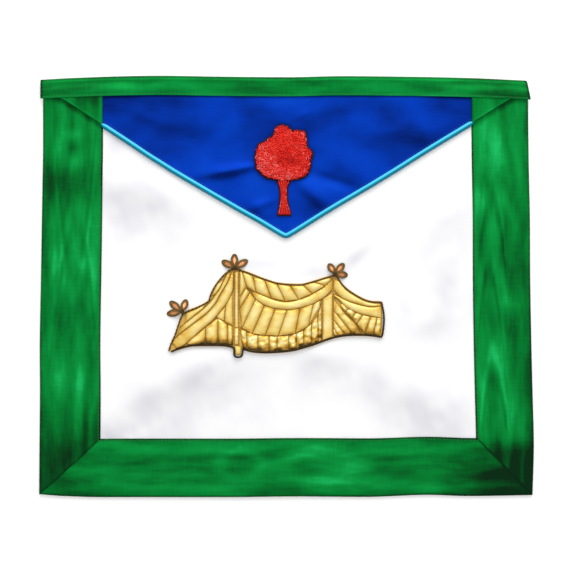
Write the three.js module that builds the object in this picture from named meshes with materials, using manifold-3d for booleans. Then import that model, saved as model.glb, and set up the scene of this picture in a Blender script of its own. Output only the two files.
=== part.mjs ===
// A ceremonial apron lying flat and face up: a stiff white satin panel bordered with folded green ribbon,
// a blue flap with turquoise piping and a padded red tree, and a padded gold tent embroidered below it.
// Units are millimetres. X runs across the apron, Y up towards the waist band, Z away from the table.

import * as THREE from 'three';
import { mergeVertices } from 'three/addons/utils/BufferGeometryUtils.js';
import Module from 'manifold-3d';

const wasm = await Module();
wasm.setup();

// Cut of the apron
const APRON_WIDTH = 411;
const APRON_LENGTH = 350;
const BORDER_LEFT = 50.5;
const BORDER_RIGHT = 48;
const BORDER_BOTTOM = 48.5;
const TURN_IN = 12;
const BAND_FRONT = 16;
const BAND_BACK = 12;
const BAND_OVERHANG = 1.6;
const BAND_LEAN = 3;
const FLAP_DROP = 135.5;
const FLAP_MARGIN = 11.5;
const CORNER_INSET = 1.8;

// Cloth and cord
const RIBBON_THICK = 1;
const PANEL_THICK = 1.6;
const FLAP_THICK = 1.2;
const PIPING_DIAMETER = 4.4;
const GAP = 0.3;
const FLOOR_GAP = 0.1;
const BLUNT_END = 2.5;

// How far the cloth departs from flat and straight
const EDGE_WANDER = 5;
const WAVE_HEIGHT = 1.1;
const SAG_SPAN = 70;
const FOLD_HEIGHT = 1.5;
const FLAP_SAG = 4.4;

// Tree on the flap
const TREE_WIDTH = 50.2;
const TREE_HEIGHT = 76.5;
const TREE_OFFSET = -1.9;
const TREE_FOOT = 20;
const TREE_RIM = 1.4;
const TREE_BACKING_THICK = 1;
const CROWN_PUFF = 3.4;
const TRUNK_PUFF = 2;

// Tent on the panel
const TENT_WIDTH = 180.6;
const TENT_HEIGHT = 73;
const TENT_OFFSET = -7.4;
const TENT_FOOT = 116.8;
const TENT_BACKING_THICK = 1;
const TENT_PUFF = 2.2;
const SEAM_THICK = 0.8;
const SEAM_GAP = 0.6;
const RIM_GAP = 0.9;
const OUTLINE_DIAMETER = 1.9;
const POST_PUFF = 1.6;

// Bows of cord on the tent
const BOW_CORD = 1.7;
const PETAL_WIDTH = 6.3;
const KNOT_DIAMETER = 4;

// Levels of the layers above the table, where the apron lies flat
const PANEL_BASE = RIBBON_THICK + GAP;
const PANEL_TOP = PANEL_BASE + PANEL_THICK;
const BORDER_BASE = PANEL_TOP + GAP;
const BORDER_TOP = BORDER_BASE + RIBBON_THICK;
const FLAP_BASE = BORDER_TOP + GAP;
const FLAP_TOP = FLAP_BASE + FLAP_THICK;
const CORNER_BASE = FLAP_TOP + GAP;
const CORNER_TOP = CORNER_BASE + RIBBON_THICK;
const BAND_BASE = FLAP_TOP + GAP;
const BAND_TOP = BAND_BASE + RIBBON_THICK;
const TENT_GROUND = PANEL_TOP + GAP;
const TENT_BASE = TENT_GROUND + TENT_BACKING_THICK + GAP;
const TREE_GROUND = FLAP_TOP + GAP;
const TREE_BASE = TREE_GROUND + TREE_BACKING_THICK + GAP;

// Places that several pieces share
const HALF_WIDTH = APRON_WIDTH / 2;
const HALF_LENGTH = APRON_LENGTH / 2;
const BORDER_FOLD = BORDER_TOP / 2;
const BAND_FOLD = BAND_TOP / 2;
const UNDER_BAND = HALF_LENGTH - BAND_BACK - GAP;
const TIP_Y = HALF_LENGTH - FLAP_DROP;
const FLAP_SPREAD = HALF_WIDTH - FLAP_MARGIN;
const FLAP_SLOPE = (FLAP_DROP - BAND_FRONT) / FLAP_SPREAD;
const SLANT = Math.hypot(1, FLAP_SLOPE);
const PIPING_RADIUS = PIPING_DIAMETER / 2;
const FLAP_INSET = PIPING_DIAMETER + GAP;

// A table of named columns, written as rows of numbers
const named = (columns, row) => Object.fromEntries(columns.map((name, i) => [name, row[i]]));
const table = (columns, rows) => rows.map((row) => named(columns, row));

// How far each edge lies inside the straight cut, as a share of EDGE_WANDER, at shares of that edge's
// length
const LEFT_EDGE = table(['at', 'by'], [
  [0.00, 0.00], [0.12, 0.06], [0.26, 0.14], [0.34, 0.10],
  [0.55, 0.34], [0.73, 0.54], [0.85, 0.66], [1.00, 0.64],
]);
const RIGHT_EDGE = table(['at', 'by'], [
  [0.00, 0.22], [0.12, 0.00], [0.25, 0.22], [0.38, 0.44],
  [0.55, 0.62], [0.65, 0.64], [0.81, 0.86], [1.00, 1.00],
]);
const TOP_EDGE = table(['at', 'by'], [
  [0.00, 0.64], [0.06, 0.38], [0.17, 0.08], [0.24, 0.00], [0.36, 0.14],
  [0.50, 0.24], [0.62, 0.06], [0.75, 0.16], [0.88, 0.38], [1.00, 0.82],
]);
const BOTTOM_EDGE = table(['at', 'by'], [
  [0.00, 0.48], [0.05, 0.18], [0.13, 0.00], [0.38, 0.00], [0.52, 0.12],
  [0.66, 0.04], [0.79, 0.38], [0.87, 0.18], [1.00, 0.34],
]);

// How far each half of the flap's edge hangs below a straight line, as a share of FLAP_SAG, at shares of
// FLAP_SPREAD from the tip
const FLAP_EDGE = table(['at', 'left', 'right'], [
  [0.00, 0.00, 0.00], [0.10, 0.04, 0.00], [0.20, 0.30, 0.06], [0.30, 0.55, 0.22], [0.40, 0.78, 0.36],
  [0.50, 0.98, 0.42], [0.58, 1.00, 0.38], [0.68, 0.80, 0.35], [0.78, 0.58, 0.33], [0.90, 0.24, 0.16],
  [1.00, 0.00, 0.00],
]);

// Broad soft waves of the whole apron: centre as shares of its width and length, reach along and across as
// shares of its width, turn in degrees, height as a share of WAVE_HEIGHT
const WAVES = table(['u', 'v', 'long', 'wide', 'turn', 'high'], [
  [0.24, 0.76, 0.12, 0.050, -22, 1.00],
  [0.33, 0.30, 0.16, 0.055, 18, 0.90],
  [0.62, 0.29, 0.14, 0.050, -14, 0.85],
  [0.78, 0.24, 0.12, 0.060, 38, 0.70],
  [0.84, 0.64, 0.13, 0.055, 72, 0.80],
  [0.15, 0.45, 0.16, 0.060, 84, 0.45],
  [0.02, 0.62, 0.12, 0.050, 90, 0.55],
  [0.98, 0.36, 0.14, 0.050, 90, 0.60],
  [0.46, 0.02, 0.16, 0.050, 0, 0.50],
]);

// Folds of the flap round the stiff tree: place, reach along and across as shares of FLAP_SPREAD, turn in
// degrees, height as a share of FOLD_HEIGHT
const FOLDS = table(['x', 'y', 'long', 'wide', 'turn', 'high'], [
  [-0.27, 0.30, 0.100, 0.034, 9, 1.00],
  [-0.12, 0.13, 0.060, 0.030, -24, 0.60],
  [0.14, 0.19, 0.075, 0.034, -40, 1.00],
  [0.28, 0.30, 0.110, 0.045, -33, 0.75],
  [0.12, 0.54, 0.090, 0.034, 27, 0.45],
  [-0.45, 0.48, 0.170, 0.080, -30, 0.55],
  [0.60, 0.47, 0.140, 0.060, 24, 0.45],
]);

// Reach of the tree's crown from its middle, as a share of the middle's reaches wide and high, at angles in
// degrees
const CROWN = table(['at', 'reach'], [
  [-180, 0.93], [-166, 0.95], [-153, 0.99], [-143, 0.97], [-126, 0.94], [-113, 0.86], [-98, 0.85],
  [-70, 0.88], [-53, 0.97], [-40, 1.03], [-24, 1.00], [-12, 0.96], [0, 0.99], [10, 0.94], [18, 0.86],
  [28, 0.90], [40, 1.01], [47, 1.05], [55, 0.96], [61, 0.93], [67, 0.84], [76, 0.91], [92, 0.98],
  [103, 0.93], [112, 0.79], [119, 0.71], [136, 0.73], [147, 0.77], [155, 0.87], [167, 0.89], [180, 0.93],
]);
const CROWN_MIDDLE = { u: 0.49, v: 0.66, reachU: 0.5, reachV: 0.33 };

// Edges of the trunk from its foot up, as shares of the tree's height and width
const TRUNK = table(['v', 'left', 'right'], [
  [0.01, 0.41, 0.61], [0.05, 0.42, 0.60], [0.12, 0.44, 0.57], [0.22, 0.45, 0.55], [0.30, 0.44, 0.55],
  [0.36, 0.41, 0.59],
]);

// Lines of the tent, as shares of its width and height from its lower left
const LEFT_SIDE = table(['u', 'v'], [
  [0.000, 0.065], [0.012, 0.15], [0.030, 0.25], [0.046, 0.37], [0.060, 0.46], [0.075, 0.50], [0.105, 0.535],
  [0.140, 0.57], [0.170, 0.61], [0.186, 0.64], [0.191, 0.69], [0.203, 0.76], [0.220, 0.83], [0.242, 0.90],
  [0.262, 0.95], [0.285, 0.99],
]);
const RIDGE = table(['u', 'v'], [
  [0.285, 0.99], [0.310, 1.00], [0.345, 0.975], [0.380, 0.945], [0.420, 0.905], [0.460, 0.87], [0.500, 0.84],
  [0.550, 0.825], [0.610, 0.82], [0.650, 0.84], [0.700, 0.875], [0.740, 0.905], [0.775, 0.92], [0.790, 0.87],
  [0.805, 0.82], [0.830, 0.76], [0.870, 0.695], [0.910, 0.645], [0.945, 0.622], [0.984, 0.615],
]);
const BASE = table(['u', 'v'], [
  [0.000, 0.065], [0.040, 0.085], [0.080, 0.115], [0.120, 0.13], [0.200, 0.135], [0.260, 0.13],
  [0.300, 0.115], [0.345, 0.09], [0.390, 0.06], [0.450, 0.05], [0.510, 0.055], [0.570, 0.07], [0.620, 0.10],
  [0.680, 0.145], [0.730, 0.19], [0.780, 0.225], [0.840, 0.245], [0.900, 0.247], [0.950, 0.237],
  [0.984, 0.225],
]);
const RIGHT_END = table(['u', 'v'], [
  [0.984, 0.225], [0.993, 0.30], [0.997, 0.40], [0.996, 0.49], [0.991, 0.56], [0.984, 0.615],
]);
const FOOT_OF_POST = table(['u', 'v'], [
  [0.300, 0.10], [0.303, 0.025], [0.312, 0.00], [0.331, 0.00], [0.340, 0.025], [0.344, 0.08],
]);
const FOLD_INNER = table(['u', 'v'], [
  [0.300, 0.965], [0.299, 0.86], [0.297, 0.76], [0.280, 0.66], [0.255, 0.56], [0.218, 0.45], [0.180, 0.36],
  [0.140, 0.28], [0.105, 0.20], [0.070, 0.13], [0.030, 0.095],
]);
const FOLD_MIDDLE = table(['u', 'v'], [
  [0.288, 0.965], [0.275, 0.87], [0.255, 0.78], [0.236, 0.70], [0.216, 0.61], [0.180, 0.505], [0.145, 0.435],
  [0.105, 0.36], [0.065, 0.285], [0.032, 0.215], [0.014, 0.145],
]);
const FOLD_OUTER = table(['u', 'v'], [
  [0.268, 0.945], [0.252, 0.87], [0.235, 0.78], [0.215, 0.71], [0.193, 0.635], [0.160, 0.55], [0.125, 0.48],
  [0.096, 0.42], [0.070, 0.37], [0.050, 0.33],
]);
const EAVE = table(['u', 'v'], [
  [0.218, 0.45], [0.236, 0.435], [0.260, 0.40], [0.280, 0.365], [0.300, 0.35],
]);
const SWAG_TOP = table(['u', 'v'], [
  [0.360, 0.80], [0.385, 0.755], [0.440, 0.70], [0.480, 0.66], [0.520, 0.635], [0.560, 0.63], [0.600, 0.65],
  [0.640, 0.685], [0.680, 0.735], [0.715, 0.785], [0.745, 0.85], [0.762, 0.89],
]);
const SWAG_FOOT = table(['u', 'v'], [
  [0.360, 0.79], [0.385, 0.715], [0.405, 0.65], [0.430, 0.605], [0.460, 0.57], [0.500, 0.545], [0.540, 0.535],
  [0.580, 0.54], [0.620, 0.56], [0.660, 0.59], [0.700, 0.64], [0.730, 0.69], [0.757, 0.76],
]);
const DRAPE_FOOT = table(['u', 'v'], [
  [0.325, 0.34], [0.345, 0.32], [0.370, 0.275], [0.410, 0.25], [0.460, 0.24], [0.500, 0.235], [0.550, 0.24],
  [0.590, 0.265], [0.630, 0.31], [0.660, 0.38], [0.690, 0.47], [0.708, 0.62],
]);
const RIGHT_BREAK = table(['u', 'v'], [
  [0.762, 0.72], [0.800, 0.67], [0.840, 0.625], [0.880, 0.595], [0.920, 0.572], [0.955, 0.565], [0.990, 0.58],
]);
const RIGHT_SWAG_FOOT = table(['u', 'v'], [
  [0.762, 0.69], [0.790, 0.64], [0.810, 0.585], [0.840, 0.535], [0.870, 0.50], [0.900, 0.475], [0.940, 0.455],
  [0.994, 0.435],
]);
const RIGHT_FALL = table(['u', 'v'], [
  [0.764, 0.67], [0.785, 0.58], [0.815, 0.50], [0.840, 0.43], [0.870, 0.36], [0.900, 0.262],
]);

// Bows on the tent: place of each knot as shares of the tent, then the direction in degrees and the length
// in petal widths of three petals
const BOWS = table(['name', 'u', 'v', 'petals'], [
  ['finial_left', 0.062, 0.510, [[141, 2.15], [72, 1.7], [188, 2.05]]],
  ['finial_near', 0.304, 1.014, [[92, 1.85], [152, 1.95], [31, 2.0]]],
  ['finial_far', 0.770, 0.938, [[121, 1.6], [49, 1.85], [-4, 1.7]]],
]);

// Materials, with the colours of the cloth and thread
const cloth = (color, roughness) => new THREE.MeshStandardMaterial({ color, roughness, metalness: 0 });
const whiteSatin = cloth(0xf2f2f4, 0.45);
const greenRibbon = cloth(0x088737, 0.42);
const blueSatin = cloth(0x0338a8, 0.4);
const turquoiseSatin = cloth(0x2cc4e0, 0.35);
const redThread = cloth(0xd42a26, 0.5);
const maroonFelt = cloth(0x5a0c18, 0.9);
const goldLame = new THREE.MeshStandardMaterial({ color: 0xe0b64c, roughness: 0.35, metalness: 0.6 });
const goldFelt = cloth(0xa8751c, 0.8);
const umberGimp = new THREE.MeshStandardMaterial({ color: 0x4a3818, roughness: 0.5, metalness: 0.4 });
const copperGimp = new THREE.MeshStandardMaterial({ color: 0xa86030, roughness: 0.45, metalness: 0.5 });

const clamp = THREE.MathUtils.clamp;
const lerp = THREE.MathUtils.lerp;
const radians = THREE.MathUtils.degToRad;
const smooth = (low, high, x) => THREE.MathUtils.smoothstep(x, low, high);

// The value of column `give` at `t` in column `by`, on a smooth line through the rows
function read(rows, by, give, t) {
  const x = clamp(t, rows[0][by], rows.at(-1)[by]);
  const i = clamp(rows.findIndex((row) => row[by] >= x) - 1, 0, rows.length - 2);
  const slope = (a, b) => (rows[b][give] - rows[a][give]) / (rows[b][by] - rows[a][by]);
  const here = slope(i, i + 1);
  const before = i > 0 ? slope(i - 1, i) : here;
  const after = i < rows.length - 2 ? slope(i + 1, i + 2) : here;
  const bend = (a, b) => (a * b <= 0 ? 0 : (2 * a * b) / (a + b));
  const span = rows[i + 1][by] - rows[i][by];
  const s = (x - rows[i][by]) / span;
  const rise = rows[i + 1][give] - rows[i][give];
  const start = bend(before, here) * span;
  const end = bend(here, after) * span;
  return rows[i][give] + s * (start + s * (3 * rise - 2 * start - end + s * (start + end - 2 * rise)));
}

// Height at (x, y) of a row's soft ridge, in shares of the height that the row names
function ridge(row, x, y, size) {
  const c = Math.cos(radians(row.turn));
  const s = Math.sin(radians(row.turn));
  const along = (x * c + y * s) / (row.long * size);
  const across = (y * c - x * s) / (row.wide * size);
  return row.high * Math.exp(-along * along - across * across);
}

// Height by which the laid apron rises off the table, less what it sags inside its folded edges
function lie(x, y) {
  const calm = 1 - smooth(HALF_LENGTH - 4 * BAND_FRONT, HALF_LENGTH - BAND_FRONT, y);
  const u = x / APRON_WIDTH + 0.5;
  const v = y / APRON_LENGTH + 0.5;
  const waves = WAVES.map((w) => ridge(w, (u - w.u) * APRON_WIDTH, (v - w.v) * APRON_LENGTH, APRON_WIDTH));
  const inside = (distance) => smooth(TURN_IN, TURN_IN + SAG_SPAN, distance);
  const sunk = inside(HALF_WIDTH - Math.abs(x)) * inside(HALF_LENGTH - Math.abs(y));
  return calm * WAVE_HEIGHT * waves.reduce((a, b) => a + b) - sunk * (PANEL_BASE - FLOOR_GAP);
}

// A point of the flat cut, moved to where it is on the laid apron
function lay(x, y, z) {
  const u = x / APRON_WIDTH + 0.5;
  const v = y / APRON_LENGTH + 0.5;
  const across = read(LEFT_EDGE, 'at', 'by', v) * (1 - u) - read(RIGHT_EDGE, 'at', 'by', v) * u;
  const along = read(BOTTOM_EDGE, 'at', 'by', u) * (1 - v) - read(TOP_EDGE, 'at', 'by', u) * v;
  return new THREE.Vector3(x + across * EDGE_WANDER, y + along * EDGE_WANDER, z + lie(x, y));
}

// The same for a point of the flap, which has folds of its own
function layFlap(x, y, z) {
  const calm = 1 - smooth(HALF_LENGTH - 3 * BAND_FRONT, HALF_LENGTH - 1.2 * BAND_FRONT, y);
  const up = y - TIP_Y;
  const folds = FOLDS.map((f) => ridge(f, x - f.x * FLAP_SPREAD, up - f.y * FLAP_SPREAD, FLAP_SPREAD));
  return lay(x, y, z + calm * FOLD_HEIGHT * folds.reduce((a, b) => a + b));
}

// A geometry whose vertices are moved by `place`
function moved(geometry, place) {
  const at = geometry.attributes.position;
  for (let i = 0; i < at.count; i++) at.setXYZ(i, ...place(at.getX(i), at.getY(i), at.getZ(i)));
  geometry.computeVertexNormals();
  return geometry;
}

// A closed sheet of nx by ny by nz cells, whose corners `place` puts at shares u, v and w of it
function sheet(nx, ny, nz, place) {
  return moved(new THREE.BoxGeometry(1, 1, 1, nx, ny, nz), (x, y, z) => place(x + 0.5, y + 0.5, z + 0.5));
}

// A three.js geometry as a solid that can be joined, and back
function toSolid(geometry) {
  const bare = geometry.clone();
  bare.deleteAttribute('normal');
  bare.deleteAttribute('uv');
  const merged = mergeVertices(bare, 1e-4);
  const vertProperties = merged.attributes.position.array;
  const triVerts = Uint32Array.from(merged.index.array);
  return new wasm.Manifold(new wasm.Mesh({ numProp: 3, vertProperties, triVerts }));
}

function fromSolid(solid) {
  const mesh = solid.getMesh();
  const corners = new THREE.BufferAttribute(Float32Array.from(mesh.vertProperties), 3);
  const geometry = new THREE.BufferGeometry();
  geometry.setAttribute('position', corners);
  geometry.setIndex(Array.from(mesh.triVerts));
  return geometry;
}

const joined = (geometries) => fromSolid(geometries.map(toSolid).reduce((a, b) => a.add(b)));

const apron = new THREE.Group();

function addPiece(name, material, geometry) {
  const mesh = new THREE.Mesh(geometry, material);
  mesh.name = name;
  apron.add(mesh);
}

// The white ground, held a fold's radius inside the ribbons
function makePanel() {
  const top = HALF_LENGTH - BAND_FOLD;
  const columns = 18;
  const rows = 15;
  return sheet(columns, rows, 1, (u, v, w) => {
    const x = lerp(BORDER_FOLD - HALF_WIDTH, HALF_WIDTH - BORDER_FOLD, u);
    const y = lerp(BORDER_FOLD - HALF_LENGTH, top, v);
    return lay(x, y, lerp(PANEL_BASE, PANEL_TOP, w));
  });
}

// Middle line of a ribbon folded round an edge, from its front edge over the fold to its back edge:
// distance d from the edge, height z, and the way that faces out
function foldedRibbon(front, back, top, cells) {
  const radius = (top - RIBBON_THICK) / 2;
  const middle = top / 2;
  const line = [];
  for (let i = 0; i < cells; i++) {
    line.push({ d: lerp(front, middle, i / cells), z: middle + radius, out: [0, 1] });
  }
  const turns = 4;
  for (let i = 0; i <= turns; i++) {
    const a = Math.PI * (0.5 + i / turns);
    const out = [Math.cos(a), Math.sin(a)];
    line.push({ d: middle + radius * out[0], z: middle + radius * out[1], out });
  }
  line.push({ d: back, z: middle - radius, out: [0, -1] });
  return line;
}

// A ribbon folded round one edge. `ends` gives where it starts and stops at distance d from the edge, and
// `place` puts a point at s along the edge, d inside it and z up
function makeBinding(line, cells, ends, place) {
  return sheet(cells, line.length - 1, 1, (u, v, w) => {
    const at = line[Math.round(v * (line.length - 1))];
    const half = (w - 0.5) * RIBBON_THICK;
    const d = at.d + half * at.out[0];
    const [start, stop] = ends(d);
    return place(lerp(start, stop, u), d, at.z + half * at.out[1]);
  });
}

function addBorders() {
  const mitre = GAP * 0.75;
  const below = (d, border) => HALF_LENGTH - (d * BORDER_BOTTOM) / border - mitre;
  const beside = (d, border) => HALF_WIDTH - (d * border) / BORDER_BOTTOM - mitre;
  const sideCells = 13;
  const bottomCells = 15;
  const ribbon = (width) => foldedRibbon(width, TURN_IN, BORDER_TOP, 2);

  const left = makeBinding(
    ribbon(BORDER_LEFT), sideCells,
    (d) => [-below(d, BORDER_LEFT), UNDER_BAND],
    (s, d, z) => lay(d - HALF_WIDTH, s, z),
  );
  const right = makeBinding(
    ribbon(BORDER_RIGHT), sideCells,
    (d) => [-UNDER_BAND, below(d, BORDER_RIGHT)],
    (s, d, z) => lay(HALF_WIDTH - d, -s, z),
  );
  const bottom = makeBinding(
    ribbon(BORDER_BOTTOM), bottomCells,
    (d) => [-beside(d, BORDER_RIGHT), beside(d, BORDER_LEFT)],
    (s, d, z) => lay(-s, d - HALF_LENGTH, z),
  );
  addPiece('border_left', greenRibbon, left);
  addPiece('border_right', greenRibbon, right);
  addPiece('border_bottom', greenRibbon, bottom);
}

// The band over the top edge, raised where its front passes over the ribbon on the flap's ends
function makeBand() {
  const end = HALF_WIDTH + BAND_OVERHANG;
  const cells = 22;
  const step = (2 * end) / cells;
  const ribbonStart = HALF_WIDTH - Math.max(BORDER_LEFT, BORDER_RIGHT);
  const line = foldedRibbon(BAND_FRONT, BAND_BACK, BAND_TOP, 2);
  const place = (s, d, z) => {
    const overRibbon = smooth(ribbonStart - 2 * step, ribbonStart - step, Math.abs(s));
    const overEnd = smooth(BAND_FOLD, BAND_BACK - GAP, d);
    const front = z > BAND_FOLD ? 1 : 0;
    const lean = BAND_LEAN * (1 - d / BAND_FRONT) * smooth(end - 2 * step, end, s);
    return lay(s - lean, HALF_LENGTH - d, z + front * overRibbon * overEnd * (RIBBON_THICK + GAP));
  };
  return makeBinding(line, cells, () => [-end, end], place);
}

// Place in the flat cut of the flap's slanting edge, `inset` inside it: a straight line that sags
const straightEdge = (x, inset) => TIP_Y + FLAP_SLOPE * Math.abs(x) + inset * SLANT;
const flapSag = (x) => FLAP_SAG * read(FLAP_EDGE, 'at', x < 0 ? 'left' : 'right', Math.abs(x) / FLAP_SPREAD);
const flapEdge = (x, inset) => straightEdge(x, inset) - flapSag(x);

// How far out a slanting line `inset` inside the flap's edge meets the height `top`, cut off blunt
const flapEnd = (inset, top) => (top - flapEdge(0, inset)) / FLAP_SLOPE - BLUNT_END;

// The blue flap, with its columns crowded towards the middle, where its folds are
function makeFlap() {
  const columns = 22;
  const rows = 8;
  const crowd = 0.45;
  const top = HALF_LENGTH - BAND_FOLD;
  const end = Math.min(HALF_WIDTH - BORDER_FOLD, flapEnd(FLAP_INSET, top));
  return sheet(columns, rows, 1, (u, v, w) => {
    const t = 2 * u - 1;
    const x = end * t * (1 - crowd + crowd * t * t);
    return layFlap(x, lerp(flapEdge(x, FLAP_INSET), top, v), lerp(FLAP_BASE, FLAP_TOP, w));
  });
}

// Ribbon over one end of the flap, from the side border's inner edge outwards, with a lip down past the
// flap's edge that narrows where the ribbon does
function makeFlapCorner(side, border) {
  const inner = HALF_WIDTH - border;
  const outer = flapEnd(0, UNDER_BAND);
  const lip = FLAP_INSET - 2 * GAP;
  const turn = 0.1;
  const lipShare = 0.8;
  const rows = [
    { inset: CORNER_INSET, base: FLAP_BASE },
    { inset: lip - turn, base: FLAP_BASE },
    { inset: lip, base: CORNER_BASE },
  ];
  const columns = 5;
  const cells = 3;
  const last = rows.length - 1;
  return sheet(columns, last + cells, 1, (u, v, w) => {
    const x = side > 0 ? lerp(inner, outer, u) : lerp(-outer, -inner, u);
    const i = Math.round(v * (last + cells));
    const row = rows[Math.min(i, last)];
    const reach = (UNDER_BAND - flapEdge(x, 0)) / SLANT;
    const squeeze = Math.min(1, (lipShare * reach) / lip);
    const y = lerp(flapEdge(x, row.inset * squeeze), UNDER_BAND, Math.max(0, i - last) / cells);
    return layFlap(x, y, w < 0.5 ? row.base : CORNER_TOP);
  });
}

// Piping along both slanting edges: two straight runs joined by a ball at the tip, which then sag
function makePiping() {
  const sides = 8;
  const steps = 12;
  const z = PANEL_TOP + GAP + PIPING_RADIUS;
  const section = new THREE.Shape();
  section.absarc(0, 0, PIPING_RADIUS, 0, 2 * Math.PI);
  const run = (x) => {
    const from = new THREE.Vector3(0, flapEdge(0, PIPING_RADIUS), z);
    const to = new THREE.Vector3(x, straightEdge(x, PIPING_RADIUS), z);
    return new THREE.ExtrudeGeometry(section, {
      steps, curveSegments: sides / 2, extrudePath: new THREE.LineCurve3(from, to),
    });
  };
  const ball = new THREE.SphereGeometry(PIPING_RADIUS, sides, sides / 2);
  ball.translate(0, flapEdge(0, PIPING_RADIUS), z);
  const clear = GAP + (PIPING_RADIUS * FLAP_SLOPE) / SLANT;
  const left = clear - HALF_WIDTH + BORDER_LEFT;
  const right = HALF_WIDTH - BORDER_RIGHT - clear;
  return moved(joined([run(left), run(right), ball]), (px, py, pz) => layFlap(px, py - flapSag(px), pz));
}

// Tree, in shares of its own width and height
const treeX = (u) => TREE_OFFSET + (u - 0.5) * TREE_WIDTH;
const treeY = (v) => TIP_Y + TREE_FOOT + v * TREE_HEIGHT;

const crownReach = (angle) => read(CROWN, 'at', 'reach', THREE.MathUtils.radToDeg(angle));

// A round piece with the crown's outline, `rim` wider, whose height is profile(share of the way out, angle)
function makeCrown(rim, base, rings, profile) {
  const facets = 32;
  const section = [new THREE.Vector2(0, 0), new THREE.Vector2(1, 0)];
  for (let i = rings; i >= 0; i--) section.push(new THREE.Vector2(i / rings, 1));
  return moved(new THREE.LatheGeometry(section, facets), (x, top, z) => {
    const out = Math.hypot(x, z);
    const angle = Math.atan2(-z, x);
    const reach = out * crownReach(angle);
    const c = Math.cos(angle);
    const s = Math.sin(angle);
    const px = treeX(CROWN_MIDDLE.u + CROWN_MIDDLE.reachU * reach * c) + out * rim * c;
    const py = treeY(CROWN_MIDDLE.v + CROWN_MIDDLE.reachV * reach * s) + out * rim * s;
    return layFlap(px, py, base + top * profile(out, angle));
  });
}

// A piece with the trunk's outline between two shares of the tree's height, `rim` wider and lower
function makeTrunk(rim, base, low, high, profile) {
  const columns = 3;
  const rows = 6;
  return sheet(columns, rows, 1, (u, v, w) => {
    const along = lerp(low, high, v);
    const left = treeX(read(TRUNK, 'v', 'left', along)) - rim;
    const right = treeX(read(TRUNK, 'v', 'right', along)) + rim;
    const drop = v === 0 ? rim : 0;
    return layFlap(lerp(left, right, u), treeY(along) - drop, base + w * profile(u, v));
  });
}

// The tree: a felt ground, a crown that swells in lumps to its rim, and a trunk tucked close under it
function addTree() {
  const foot = TRUNK[0].v;
  const crownFoot = CROWN_MIDDLE.v - CROWN_MIDDLE.reachV * crownReach(-Math.PI / 2);
  const trunkTop = crownFoot - (2 * GAP) / TREE_HEIGHT;
  const flat = () => TREE_BACKING_THICK;
  const backing = joined([
    makeCrown(TREE_RIM, TREE_GROUND, 2, flat),
    makeTrunk(TREE_RIM, TREE_GROUND, foot, crownFoot + TREE_RIM / TREE_HEIGHT, flat),
  ]);
  const rimShare = 0.35;
  const lumps = 7;
  const lumpShare = 0.14;
  const swell = (out) => Math.sqrt(Math.max(0, 1 - out ** 4));
  const lump = (out, angle) => lumpShare * Math.sin(lumps * angle) * Math.sin(2 * Math.PI * out);
  const dome = (out, angle) => CROWN_PUFF * (lerp(rimShare, 1, swell(out)) + lump(out, angle));
  const roll = (u) => TRUNK_PUFF * lerp(rimShare, 1, Math.sin(Math.PI * u));
  addPiece('tree_backing', maroonFelt, backing);
  addPiece('tree_crown', redThread, makeCrown(0, TREE_BASE, 4, dome));
  addPiece('tree_trunk', redThread, makeTrunk(0, TREE_BASE, foot, trunkTop, roll));
}

// Tent, in shares of its own width and height
const tentX = (u) => TENT_OFFSET + (u - 0.5) * TENT_WIDTH;
const tentY = (v) => v * TENT_HEIGHT + TENT_FOOT - HALF_LENGTH;
const tentPoint = ({ u, v }) => new THREE.Vector2(tentX(u), tentY(v));

// The point of a line of the tent at share u of the tent's width
const on = (line, u) => ({ u, v: read(line, 'u', 'v', u) });

// Stitched seams between two lines of the tent, from pairs of places along them
const seams = (head, foot, pairs) => pairs.map(([a, b]) => [on(head, a), on(foot, b)]);

// A padded piece of the tent, quilted by seams that each run from its head to its foot, each lying on the
// left of the one before it. `rims` names the sides along the outline cord: head, foot, first or last
function makeQuilt(lines, { cells = 3, puff = TENT_PUFF, rims = [] } = {}) {
  const curves = lines.map((line) => new THREE.SplineCurve(line.map(tentPoint)));
  const perStrip = 3;
  const strips = curves.length - 1;
  const mostLength = 0.3;
  const mostWidth = 0.6;
  const hold = (side) => (rims.includes(side) ? OUTLINE_DIAMETER / 2 + RIM_GAP : SEAM_GAP / 2);
  const along = (curve, s) => {
    const head = Math.min(hold('head') / curve.getLength(), mostLength);
    const foot = Math.min(hold('foot') / curve.getLength(), mostLength);
    return curve.getPointAt(lerp(head, 1 - foot, s));
  };
  const pull = (point, towards, by) => {
    point.lerp(towards, Math.min(by / point.distanceTo(towards), mostWidth));
  };
  const quilt = sheet(cells, strips * perStrip, 1, (u, v, w) => {
    const s = (1 - Math.cos(Math.PI * u)) / 2;
    const points = curves.map((curve) => along(curve, s));
    pull(points[0], points[1], hold('first'));
    pull(points[strips], points[strips - 1], hold('last'));
    const place = v * strips;
    const i = Math.min(Math.floor(place + 0.01), strips - 1);
    const share = clamp(place - i, 0, 1);
    const point = points[i].lerp(points[i + 1], share);
    const swell = Math.sqrt(Math.sin(Math.PI * share) * Math.sin(Math.PI * clamp(s, 0, 1)));
    return [point.x, point.y, TENT_BASE + w * lerp(SEAM_THICK, puff, swell || 0)];
  });
  return moved(quilt, lay);
}

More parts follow.
